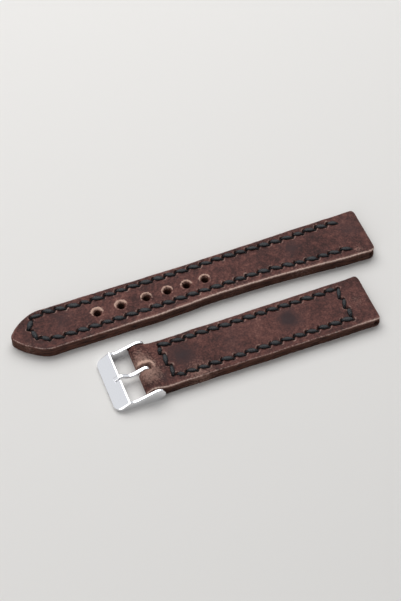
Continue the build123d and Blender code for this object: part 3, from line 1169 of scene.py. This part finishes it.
    def make(self, sheet: Sheet, material: bpy.types.Material, slot: Slot,
             nodes: Sequence[str]) -> bpy.types.Object:
        """Builds a sheet as a piece that rides on this half's body and replaces its solids.

        Args:
            sheet: The leather.
            material: Its finish.
            slot: Its material slot in the record.
            nodes: The solids that it stands for.

        Returns:
            The new object.
        """
        points, flat, depth, lift = sheet.build()
        edge = nearest(flat, resample(sheet.rims[0].loop, TRACE_STEP))
        marks = self.marks(points, edge, depth, lift)
        points[:, 2] = np.maximum(points[:, 2], self.floor_gap)
        piece = write_mesh(sheet.name, points, sheet.faces, material, marks)
        return self.seat(piece, slot, nodes)

    def seat(self, piece: bpy.types.Object, slot: Slot, nodes: Sequence[str]) -> bpy.types.Object:
        """Gives a piece its place in the model.

        Args:
            piece: The object.
            slot: Its material slot in the record; not used.
            nodes: The solids that it stands for.

        Returns:
            The same object.
        """
        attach(piece, self.body)
        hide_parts(*nodes)
        LOG.info("%s: %d points on %s", piece.name, len(piece.data.vertices), self.body)
        return piece

    def sheet_loop(self, side: SideLine, first: float, last: float) -> np.ndarray:
        """Outline of a sheet between two places along its side line.

        Args:
            side: The sheet's side line.
            first: Distance along the line where it starts.
            last: Distance along the line where it ends.

        Returns:
            Points on the flat sheet, counter-clockwise.
        """
        u = np.arange(first, last, TRACE_STEP)
        low, high = self.limits(side.at(side.x, u))
        return np.vstack([np.stack([u, low], 1), np.stack([u, high], 1)[::-1]])

    def cut_out(self, loop: np.ndarray, side: SideLine, window: float) -> np.ndarray:
        """A sheet's outline with its corners eased, evenly spaced and a little wavy."""
        return self.wavy(resample(soften(loop, window), self.edge_step), side)

    def lining_side(self, start_x: float, end_x: float) -> SideLine:
        """The lining's finished face, which looks down and is walked along -X."""
        return SideLine([straight((start_x, 0), (end_x, 0))], -start_x,
                        lambda x, z: np.full(len(x), self.lining_thickness))

    def lining(self, side: SideLine, loop: np.ndarray, holes: Sequence[Rim] = ()) -> Sheet:
        """The lining leather.

        Args:
            side: Its side line.
            loop: Its outline on the flat sheet.
            holes: The rims of its holes.

        Returns:
            The sheet, not built yet.
        """
        loop = self.cut_out(loop, side, self.lining_window)
        rims = [Rim(loop, np.full(len(loop), self.under_radius)), *holes]
        return Sheet(f"{self.name}_lining_hide", side, rims, self.relief, step=self.lining_step)

    def outer_sheet(self) -> Sheet:
        """The outer leather with its folded ends."""
        raise NotImplementedError

    def lining_sheet(self) -> Sheet:
        """The lining leather, finished side down."""
        raise NotImplementedError

    def build(self, leather: bpy.types.Material, lining: bpy.types.Material,
              thread: bpy.types.Material) -> None:
        """Makes the half's three pieces.

        Args:
            leather: Finish of the outer leather.
            lining: Finish of the lining.
            thread: Finish of the thread.
        """
        self.make(self.outer_sheet(), leather, Slot.OUTER, [f"{self.name}_outer_leather"])
        self.make(self.lining_sheet(), lining, Slot.LINING, [f"{self.name}_lining_leather"])
        piece = self.thread.build(f"{self.name}_saddle_stitching", self.thickness, thread)
        self.seat(piece, Slot.THREAD, [f"{self.name}_saddle_thread"])


@dataclass
class LongHalf(StrapHalf):
    """The half with the pointed tail and six punched holes."""

    name: str = "long"
    body: str = "long_strap"
    centre_y: float = 12.75
    lug_x: float = 59.75
    thickness: float = 4.0
    lining_thickness: float = 2.0
    edge_radius: float = 0.5
    tip_x: float = -59.75
    tail_width: float = 15.6
    tail_length: float = 58.0
    tip_depth: float = 9.8
    tip_bow: float = 1.2
    apex_drift: float = 0.7
    apex_lead: float = 0.3
    bow_points: int = 16
    # How far the near side is worn in, as X and inset
    near_waist: tuple[tuple[float, float], ...] = (
        (-12.0, 0.0), (3.0, 0.95), (12.0, 1.1), (26.0, 1.05), (34.0, 0.8), (42.0, 0.35),
        (54.0, 0.0),
    )
    # How far the sheets' side lines run past the tip, and how far before the roll they join
    overrun: float = 1.0
    bend_lead: float = 4.0
    hole_radius: float = 1.1
    hole_rounding: float = 0.75
    hole_back_rounding: float = 0.25
    hole_points: int = 40
    hole_unevenness: float = 0.05
    hole_wave: float = 0.8
    lip: Band = Band(1.9, 0.34, 0.17)
    # Bare fibre round a hole: each pair is the value at the front and what the back adds as
    # painted light; the pale far wall, fading with depth, is painted light too
    ring_offset: float = 1.72
    ring_reach: tuple[float, float] = (0.42, 0.35)
    ring_strength: tuple[float, float] = (0.5, 0.45)
    ring_down: Band = Band(0.0, 0.7)
    far_wall_light: float = 0.62
    far_wall_light_radius: float = 1.4
    far_wall_light_fade: Band = Band(0.0, 1.7)
    far_side_light_span: tuple[float, float] = (-1.0, 1.2)
    most_used: int = 2
    # Stretches of X over which the edge turns from crisp to worn, gets worn, and is spared again
    crisp_radius: float = 0.4
    far_radius: float = 0.55
    crisp_span: tuple[float, float] = (-50.0, -28.0)
    worn_span: tuple[float, float] = (-48.0, -12.0)
    spared_span: tuple[float, float] = (50.0, 58.0)
    spared_share: float = 0.35
    near_wear: tuple[float, float] = (0.6, 0.4)
    far_wear: float = 0.45
    hole_x: tuple[float, ...] = (-32.05, -24.25, -15.87, -8.85, -2.48, 3.75)
    row: tuple[tuple[float, float], ...] = (
        (52.5, 6.1), (45.0, 6.3), (34.0, 5.85), (10.0, 6.0), (-1.0, 5.7), (-20.0, 5.75),
        (-31.0, 5.2), (-38.0, 5.4), (-44.4, 6.0), (-48.2, 6.2), (-52.0, 5.2), (-53.6, 0.9),
        (-51.9, -2.3), (-48.0, -4.1), (-40.0, -4.4), (-26.0, -4.3), (-10.0, -4.2), (0.0, -3.95),
        (10.0, -3.95), (20.0, -3.65), (26.5, -3.8), (31.0, -4.45), (36.0, -4.8), (45.0, -5.0),
        (52.5, -5.2),
    )
    stitches: int = 54
    smudges: tuple[Spot, ...] = (
        Spot(34.6, 14.0, 3.5, 0.7), Spot(55.0, 15.0, 4.0, 0.5), Spot(-43.0, 14.5, 4.0, 0.5),
    )
    dry_places: tuple[Spot, ...] = (
        Spot(-56.0, 8.0, 3.0, 0.4), Spot(12.0, 5.0, 8.0, 0.3), Spot(34.0, 4.2, 7.0, 0.36),
        Spot(54.0, 6.2, 3.0, 0.4),
    )

    def outline(self) -> np.ndarray:
        """Parallel tail, taper to the lug end, a blunt point and a worn-in near side.

        Returns:
            Corners from above, counter-clockwise.
        """
        shoulder, taper = self.tip_x + self.tip_depth, self.tip_x + self.tail_length
        low, high = self.centre_y - self.tail_width / 2, self.centre_y + self.tail_width / 2
        wide_x = np.array([x for x, _ in self.near_waist])
        widths = np.interp(wide_x, (taper, self.lug_x), (self.tail_width / 2, self.lug_width / 2))
        near = [(x, self.centre_y - width + inset)
                for (x, inset), width in zip(self.near_waist, widths)]
        lug_low, cut = self.centre_y - self.lug_width / 2, self.corner_cut
        apex = np.array([self.tip_x - self.apex_lead, self.centre_y + self.apex_drift])
        t = np.linspace(0, 1, self.bow_points)[:, None]

        def bowed(a: np.ndarray, b: np.ndarray) -> np.ndarray:
            """A side of the point, bowed outwards."""
            run = (b - a) / math.dist(a, b)
            return a + (b - a) * t + np.array([run[1], -run[0]]) * 4 * self.tip_bow * t * (1 - t)

        return np.vstack([
            near, [(self.lug_x - cut, lug_low), (self.lug_x, lug_low + cut),
                   (self.lug_x, self.centre_y + self.lug_width / 2), (taper, high)],
            bowed(np.array([shoulder, high]), apex),
            bowed(apex, np.array([shoulder, low]))[1:],
        ])

    def stitching(self) -> Stitching:
        """Two slightly uneven rows that meet round the tip."""
        return Stitching(np.array(self.row) + (0, self.centre_y), self.stitches, False)

    def rim_radius(self, loop: np.ndarray) -> np.ndarray:
        """How far the outer leather's edge is rounded: crisp at the tip, worn round further on.

        Args:
            loop: The sheet's outline.

        Returns:
            A radius per point.
        """
        u, y = loop.T
        worn = np.where(y < self.centre_y, self.edge_radius, self.far_radius)
        top = self.crisp_radius + (worn - self.crisp_radius) * ease(*self.crisp_span, u)
        turned = ease(self.roll_x, self.roll_x + math.pi * self.thickness / 2, u)
        return top + (self.under_radius - top) * turned

    def from_hole(self, points: np.ndarray, x: float) -> np.ndarray:
        """Distance of each point from the middle of the hole at X."""
        return np.hypot(points[:, 0] - x, points[:, 1] - self.centre_y)

    def relief(self, points: np.ndarray) -> np.ndarray:
        """Adds the raised lip round each punched hole.

        Args:
            points: X, Y, Z and the normal's Z at each point.

        Returns:
            A height per point.
        """
        height = super().relief(points)
        for x in self.hole_x:
            height += (points[:, 3] > FACING) * self.lip.at(self.from_hole(points, x))
        return height

    def edge_wear(self, points: np.ndarray) -> np.ndarray:
        """Strong along the near side's middle, faint elsewhere.

        Args:
            points: Points in space.

        Returns:
            A share per point.
        """
        x, y = points[:, 0], points[:, 1]
        near = ease(*self.worn_span, x) * (1 - self.spared_share * ease(*self.spared_span, x))
        least, more = self.near_wear
        return np.where(y < self.centre_y, least + more * near, self.far_wear)

    def raw(self, points: np.ndarray) -> np.ndarray:
        """A ring of bare fibre round each hole, with painted light on its far side, wider there
        on the two that are used most, and painted light on each hole's far wall.

        Args:
            points: Points in space.

        Returns:
            A share per point.
        """
        bare = np.zeros(len(points))
        # Painted light: the far side of each ring is made paler and wider
        back = ease(*self.far_side_light_span, points[:, 1] - self.centre_y)
        deep = np.maximum(self.thickness - points[:, 2], 0)
        (reach, more_reach), (pale, more_pale) = self.ring_reach, self.ring_strength
        for n, x in enumerate(self.hole_x):
            away = self.from_hole(points, x)
            width = reach + (more_reach * back if n < self.most_used else 0)
            ring = hump(away - self.ring_offset, width) * (pale + more_pale * back)
            # Painted light on the hole's far wall, fading with depth
            wall = self.far_wall_light * back * (away < self.far_wall_light_radius)
            bare = np.maximum(bare, np.maximum(
                ring * self.ring_down.at(deep), wall * self.far_wall_light_fade.at(deep)))
        return bare

    def punched(self, flip: bool) -> list[Rim]:
        """The rims of the holes.

        Args:
            flip: Whether the sheet is walked along -X, as the lining is.

        Returns:
            A rim per hole.
        """
        rims = []
        turn = np.linspace(0, -2 * math.pi, self.hole_points, endpoint=False)
        rounding = self.hole_back_rounding if flip else self.hole_rounding
        for n, x in enumerate(self.hole_x):
            size = [
                self.hole_radius + self.hole_unevenness * ripple(
                    math.cos(a), math.sin(a), n, self.hole_wave)
                for a in turn
            ]
            middle = (-x if flip else x, self.centre_y)
            loop = np.stack([middle[0] + size * np.cos(turn), middle[1] + size * np.sin(turn)], 1)
            rims.append(Rim(loop, np.full(len(loop), rounding)))
        return rims

    def outer_sheet(self) -> Sheet:
        """From the tip along the top, round the lug channel and back underneath.

        Returns:
            The sheet, not built yet.
        """
        middle = self.thickness / 2

        def thickness(x: np.ndarray, z: np.ndarray) -> np.ndarray:
            """Full on the flat, thinned round the channel.

            Args:
                x: X along the side line.
                z: Z along it.

            Returns:
                The leather's thickness there.
            """
            away = np.minimum(np.abs(x - self.roll_x), self.channel_radius)
            flat = np.abs(z - middle) - np.sqrt(self.channel_radius ** 2 - away ** 2)
            return np.where(x > self.roll_x, middle - self.channel_radius, flat)

        start, join = self.tip_x - self.overrun, self.roll_x - self.bend_lead
        side = SideLine([
            straight((start, self.thickness), (self.roll_x, self.thickness)),
            arc((self.roll_x, middle), middle, 90, -90),
            straight((self.roll_x, 0), (self.flap_x, 0)),
        ], start, thickness)
        low, high = (run[run[:, 0] < join] for run in (self.low_side, self.high_side))
        loop = np.vstack([low, self.sheet_loop(side, join, side.u[-1]), high[::-1]])
        loop = self.cut_out(loop, side, self.outer_window)
        rims = [Rim(loop, self.rim_radius(loop)), *self.punched(False)]
        return Sheet("long_outer_hide", side, rims, self.relief)

    def lining_sheet(self) -> Sheet:
        """From the folded end's edge back to the tip, underneath.

        Returns:
            The sheet, not built yet.
        """
        cut = self.flap_x - self.seam_gap
        side = self.lining_side(cut, self.tip_x - self.overrun)
        low, high = (run[run[:, 0] < cut] for run in (self.low_side, self.high_side))
        (low_end,), (high_end,) = self.limits(np.array([cut]))
        plan = np.vstack([low, [(cut, low_end), (cut, high_end)], high[::-1]])
        return self.lining(side, plan[::-1] * (-1, 1), self.punched(True))


@dataclass
class ShortHalf(StrapHalf):
    """The half that folds round the buckle's spring bar."""

    name: str = "short"
    body: str = "short_strap"
    centre_y: float = -11.95
    lug_x: float = 49.65
    thickness: float = 3.6
    lining_thickness: float = 1.8
    edge_radius: float = 0.5
    corner_cut: float = 0.5
    fold_end_width: float = 17.2
    fold_radius: float = 2.4
    fold_axis_x: float = -25.45
    fold_rise: float = 5.4
    fold_flap: float = 14.0
    # The fold's plan: how far past the bar it is drawn, and where its taper starts
    fold_margin: float = 12.0
    taper_lead: float = 3.0
    rise_points: int = 80
    # The normal's Z over which an edge goes from its least to its full rounding, the same by
    # the fold, and how far past the bar the fold's own values hold
    round_span: tuple[float, float] = (-1.0, 0.6)
    fold_round_span: tuple[float, float] = (-1.05, -0.8)
    fold_round_lead: float = 2.0
    slot_width: float = 2.1
    slot_reach: float = 2.4
    slot_window: float = 2.0
    slot_step: float = 0.25
    slot_rounding: float = 0.45
    # Bare fibre round the slot: each pair is the near side's value and what the far side adds as
    # painted light
    bare_offset: tuple[float, float] = (0.5, 0.35)
    bare_reach: tuple[float, float] = (0.4, 0.4)
    bare_strength: tuple[float, float] = (0.35, 0.6)
    slot_far_side_light_span: tuple[float, float] = (-1.5, 1.5)
    bare_along: tuple[float, float] = (-29.0, -26.5)
    bare_height: float = 2.5
    # Wear of the near edge, with what the lug's and the buckle's end add over these spans
    near_wear: float = 0.62
    more_wear: float = 0.3
    lug_wear_span: tuple[float, float] = (30.0, 48.0)
    buckle_wear_span: tuple[float, float] = (-5.0, -22.0)
    far_wear: float = 0.4
    box_length: float = 60.0
    box_width: float = 12.0
    box_lug_margin: float = 8.7
    box_drift: float = 0.4
    box_skew: float = 1.6
    stitches: int = 36
    stitch_seed: int = 11
    smudges: tuple[Spot, ...] = (
        Spot(22.4, -10.6, 3.4, 1.0), Spot(-12.9, -11.3, 4.2, 0.95), Spot(-21.6, -16.6, 2.0, 0.8),
        Spot(2.0, -12.0, 6.0, 0.3),
    )
    dry_places: tuple[Spot, ...] = (
        Spot(-25.8, -9.0, 5.0, 0.55), Spot(-24.6, -15.0, 4.6, 0.55), Spot(-10.0, -19.0, 6.0, 0.5),
        Spot(45.0, -12.0, 4.0, 0.35),
    )

    def outline(self) -> np.ndarray:
        """A narrower buckle end that widens to the lug end.

        Returns:
            Corners from above, counter-clockwise.
        """
        taper = self.fold_axis_x + self.fold_rise + self.taper_lead
        far_left = self.fold_axis_x - self.fold_margin
        end, lug, cut = self.fold_end_width / 2, self.lug_width / 2, self.corner_cut
        return np.array([
            (far_left, self.centre_y - end), (taper, self.centre_y - end),
            (self.lug_x - cut, self.centre_y - lug), (self.lug_x, self.centre_y - lug + cut),
            (self.lug_x, self.centre_y + lug),
            (taper, self.centre_y + end), (far_left, self.centre_y + end),
        ])

    def stitching(self) -> Stitching:
        """A closed box with a slanting end row by the buckle.

        Returns:
            The thread, not built yet.
        """
        high_x = self.lug_x - self.box_lug_margin
        low_x = high_x - self.box_length
        high_y = self.centre_y + self.box_drift + self.box_width / 2
        low_y = high_y - self.box_width
        path = np.array([
            (high_x, high_y), (low_x, high_y), (low_x + self.box_skew, low_y), (high_x, low_y),
            (high_x, high_y),
        ])
        return Stitching(path, self.stitches, True, seed=self.stitch_seed)

    def middle(self, x: np.ndarray) -> np.ndarray:
        """Height of the seam between the two layers."""
        rise = ease(self.fold_axis_x + self.fold_rise, self.fold_axis_x, x)
        return self.thickness / 2 + (self.fold_radius - self.thickness / 2) * rise

    def edge_wear(self, points: np.ndarray) -> np.ndarray:
        """Faint, and stronger towards the near corner of the lug end and by the buckle.

        Args:
            points: Points in space.

        Returns:
            A share per point.
        """
        x, y = points[:, 0], points[:, 1]
        near = (self.near_wear + self.more_wear * ease(*self.lug_wear_span, x)
                + self.more_wear * ease(*self.buckle_wear_span, x))
        return np.where(y < self.centre_y, near, self.far_wear)

    def raw(self, points: np.ndarray) -> np.ndarray:
        """A pale crescent of bare fibre round the end of the tongue's slot, made wider and
        paler on its far side by painted light.

        Args:
            points: Points in space.

        Returns:
            A share per point.
        """
        x, across = points[:, 0], points[:, 1] - self.centre_y
        end_x = self.fold_axis_x + self.slot_reach - self.slot_width / 2
        away = np.hypot(np.maximum(x - end_x, 0), across) - self.slot_width / 2
        # Painted light: the crescent's far side is made wider and paler
        far = ease(*self.slot_far_side_light_span, across)
        (off, more_off), (reach, more_reach) = self.bare_offset, self.bare_reach
        pale, more_pale = self.bare_strength
        ring = hump(away - off - more_off * far, reach + more_reach * far)
        ring *= pale + more_pale * far
        return (points[:, 2] > self.bare_height) * ring * ease(*self.bare_along, x)

    def outer_sheet(self) -> Sheet:
        """From its end underneath, round the bar, along the top and round the lug channel.

        Returns:
            The sheet, not built yet.
        """
        flat, bore = self.thickness / 2, self.channel_radius
        fold_x, fold_r = self.fold_axis_x, self.fold_radius

        def thickness(x: np.ndarray, z: np.ndarray) -> np.ndarray:
            """Full on the flat, thinned round the bar and the lug channel.

            Args:
                x: X along the side line.
                z: Z along it.

            Returns:
                The leather's thickness there.
            """
            deep = np.abs(z - self.middle(x))
            for axis in (fold_x, self.roll_x):
                away = np.minimum(np.abs(x - axis), bore)
                deep = deep - np.sqrt(bore ** 2 - away ** 2)
            deep = np.where(x > self.roll_x, flat - bore, deep)
            return np.where(x < fold_x, fold_r - bore, deep)

        rise_end = fold_x + self.fold_rise
        x = np.linspace(fold_x, rise_end, self.rise_points)
        crest = 2 * fold_r + (self.thickness - 2 * fold_r) * ease(fold_x, rise_end, x)
        parts = [
            straight((fold_x + self.fold_flap, 0), (fold_x, 0)),
            arc((fold_x, fold_r), fold_r, 270, 90),
            np.stack([x, crest], 1),
            straight((rise_end, self.thickness), (self.roll_x, self.thickness)),
            arc((self.roll_x, flat), flat, 90, -90),
            straight((self.roll_x, 0), (self.flap_x, 0)),
        ]
        side = SideLine(parts, 0.0, thickness)
        loop = self.sheet_loop(side, side.u[0], side.u[-1])
        loop = self.cut_out(loop, side, self.outer_window)
        facing = side.at(side.nz, loop[:, 0])
        folded = side.at(side.x, loop[:, 0]) < fold_x + self.fold_round_lead
        top = np.maximum(ease(*self.round_span, facing),
                         folded * ease(*self.fold_round_span, facing))
        radius = self.under_radius + (self.edge_radius - self.under_radius) * top
        reach = fold_x + self.slot_reach
        first, last = side.under_u(reach), side.top_u(reach)
        low, high = self.centre_y - self.slot_width / 2, self.centre_y + self.slot_width / 2
        slot = np.array([(first, high), (last, high), (last, low), (first, low)])
        slot = resample(soften(slot, self.slot_window), self.slot_step)
        rims = [Rim(loop, radius), Rim(slot, np.full(len(slot), self.slot_rounding))]
        return Sheet("short_outer_hide", side, rims, self.relief)

    def lining_sheet(self) -> Sheet:
        """Between the two folded ends, underneath.

        Returns:
            The sheet, not built yet.
        """
        side = self.lining_side(self.flap_x - self.seam_gap,
                                self.fold_axis_x + self.fold_flap + self.seam_gap)
        return self.lining(side, self.sheet_loop(side, side.u[0], side.u[-1]))


@dataclass
class Buckle:
    """Polished tang buckle on a spring bar."""

    polished: Steel = Steel("buffed_stainless_steel", "#f1f1f3", roughness=(0.06, 0.14),
                            mark_size=1.5, relief=0.004)
    turned: Steel = Steel("turned_stainless_steel", "#b4b4b6", roughness=(0.28, 0.4),
                          mark_size=0.4, relief=0.006)

    def build(self, nodes: dict[str, bpy.types.Object]) -> None:
        """Dresses the frame, the tongue and the spring bar's parts.

        Args:
            nodes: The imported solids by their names.
        """
        polished, turned = self.polished.material(), self.turned.material()
        for node, material in (
            ("buckle_frame", polished), ("buckle_tongue", polished), ("spring_bar_tube", turned),
            ("spring_bar_near_pin", turned), ("spring_bar_far_pin", turned),
            ("spring_bar_spring", turned),
        ):
            for slot in nodes[node].material_slots:
                slot.link = "OBJECT"
                slot.material = material
            LOG.info("%s: %d material slots dressed", node, len(nodes[node].material_slots))


@dataclass
class PhotoCamera:
    """The camera at the photograph's place."""

    aim: tuple[float, float, float] = (0.5, 8.2, 0.0)
    distance: float = 457.4
    elevation: float = 54.0
    heading: float = 21.35
    focal_pixels: float = 1450.0
    image_height: float = 601.0
    sensor: float = 36.0
    clip_start: float = 10.0

    def build(self) -> None:
        """Adds the camera and makes it the scene's."""
        tilt, turn = math.radians(self.elevation), math.radians(self.heading)
        right = Vector((math.cos(turn), -math.sin(turn), 0))
        away = Vector((math.sin(turn), math.cos(turn), 0))
        view = away * math.cos(tilt) - Vector((0, 0, math.sin(tilt)))
        up = right.cross(view)
        data = bpy.data.cameras.new("photo_camera")
        data.sensor_fit = "VERTICAL"
        data.sensor_height = self.sensor
        data.lens = self.focal_pixels * self.sensor / self.image_height
        data.clip_start = self.clip_start * METRES_PER_MM
        camera = into_scene("photo_camera", data)
        place = (Vector(self.aim) - view * self.distance) * METRES_PER_MM
        turned = Matrix((right, up, -view)).transposed().to_4x4()
        camera.matrix_world = Matrix.Translation(place) @ turned
        bpy.context.scene.camera = camera


@dataclass
class Studio:
    """A pale floor under one large soft lamp, a weak second one and an even sky."""

    floor_size: float = 3000.0
    floor_squares: int = 8
    floor_colour: str = "#eceae7"
    floor_roughness: float = 0.95
    floor_shine: float = 0.1
    sky_colour: str = "#e6e8eb"
    sky_strength: float = 0.34
    # How bright the sky's front is, and the Y of the direction over which it brightens
    dark_side: float = 0.3
    dark_span: tuple[float, float] = (-0.8, 0.2)
    lamp_distance: float = 700.0
    lamp_depth: float = 600.0
    key_direction: tuple[float, float, float] = (0.06, 0.62, 0.9)
    key_width: float = 960.0
    key_power: float = 4.8
    fill_direction: tuple[float, float, float] = (-0.66, -0.56, 0.52)
    fill_width: float = 400.0
    fill_power: float = 1.1

    def lamp(self, name: str, direction: Sequence[float], width: float, power: float) -> None:
        """Adds a soft box that shines on the strap.

        Args:
            name: The lamp's name.
            direction: Where it stands, seen from the strap.
            width: Its width.
            power: Its power in watts.
        """
        data = bpy.data.lights.new(name, "AREA")
        data.shape = "RECTANGLE"
        data.size = width * METRES_PER_MM
        data.size_y = self.lamp_depth * METRES_PER_MM
        data.energy = power
        lamp = into_scene(name, data)
        away = Vector(direction).normalized()
        lamp.location = away * self.lamp_distance * METRES_PER_MM
        lamp.rotation_euler = away.to_track_quat("Z", "Y").to_euler()

    def floor(self) -> None:
        """A plain pale floor of matt paper."""
        mesh = bpy.data.meshes.new("floor")
        solid = bmesh.new()
        bmesh.ops.create_grid(solid, x_segments=self.floor_squares, y_segments=self.floor_squares,
                              size=self.floor_size / 2 * METRES_PER_MM)
        solid.to_mesh(mesh)
        solid.free()
        r = Recipe(bpy.data.materials.new("matt_paper_floor"))
        mesh.materials.append(r.surface(r.add("ShaderNodeBsdfPrincipled", {
            "Base Color": linear(self.floor_colour), "Roughness": self.floor_roughness,
            "Specular IOR Level": self.floor_shine,
        })))
        floor = into_scene("floor", mesh)

    def sky(self) -> None:
        """A sky that is brighter to look at than as a light, and darker at the front."""
        r = Recipe(bpy.data.worlds.new("pale_room"))
        camera = r.add("ShaderNodeLightPath", out="Is Camera Ray")
        seen = camera
        for ray in ("Is Glossy Ray", "Is Transmission Ray"):
            kind = r.add("ShaderNodeLightPath", out=ray)
            seen = r.add("ShaderNodeMath", {0: seen, 1: kind}, operation="MAXIMUM")
        strength = r.add("ShaderNodeMapRange", {"Value": seen, "To Min": self.sky_strength})
        direction = r.add("ShaderNodeTexCoord", out="Generated")
        back = r.add("ShaderNodeSeparateXYZ", {"Vector": direction}, out="Y")
        shade = r.add("ShaderNodeMapRange", {
            "Value": back, "From Min": self.dark_span[0], "From Max": self.dark_span[1],
            "To Min": self.dark_side,
        })
        shade = r.add("ShaderNodeMath", {0: shade, 1: camera}, operation="MAXIMUM")
        strength = r.add("ShaderNodeMath", {0: strength, 1: shade}, operation="MULTIPLY")
        bpy.context.scene.world = r.surface(r.add("ShaderNodeBackground", {
            "Color": linear(self.sky_colour), "Strength": strength,
        }))

    def build(self) -> None:
        """Adds the floor, the lamps and the sky."""
        bpy.context.scene.view_settings.view_transform = "Standard"
        self.floor()
        self.sky()
        self.lamp("key", self.key_direction, self.key_width, self.key_power)
        self.lamp("fill", self.fill_direction, self.fill_width, self.fill_power)


def main() -> None:
    """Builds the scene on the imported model."""
    logging.basicConfig(level=logging.INFO)
    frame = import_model()
    PhotoCamera().build()
    Studio().build()
    leather = PullUpLeather().material()
    lining = PullUpLeather("smooth_lining_cowhide").material()
    thread = WaxedThread().material()
    LongHalf().build(leather, lining, thread)
    ShortHalf().build(leather, lining, thread)
    Buckle().build(frame["nodes"])


if __name__ == "__main__":
    main()
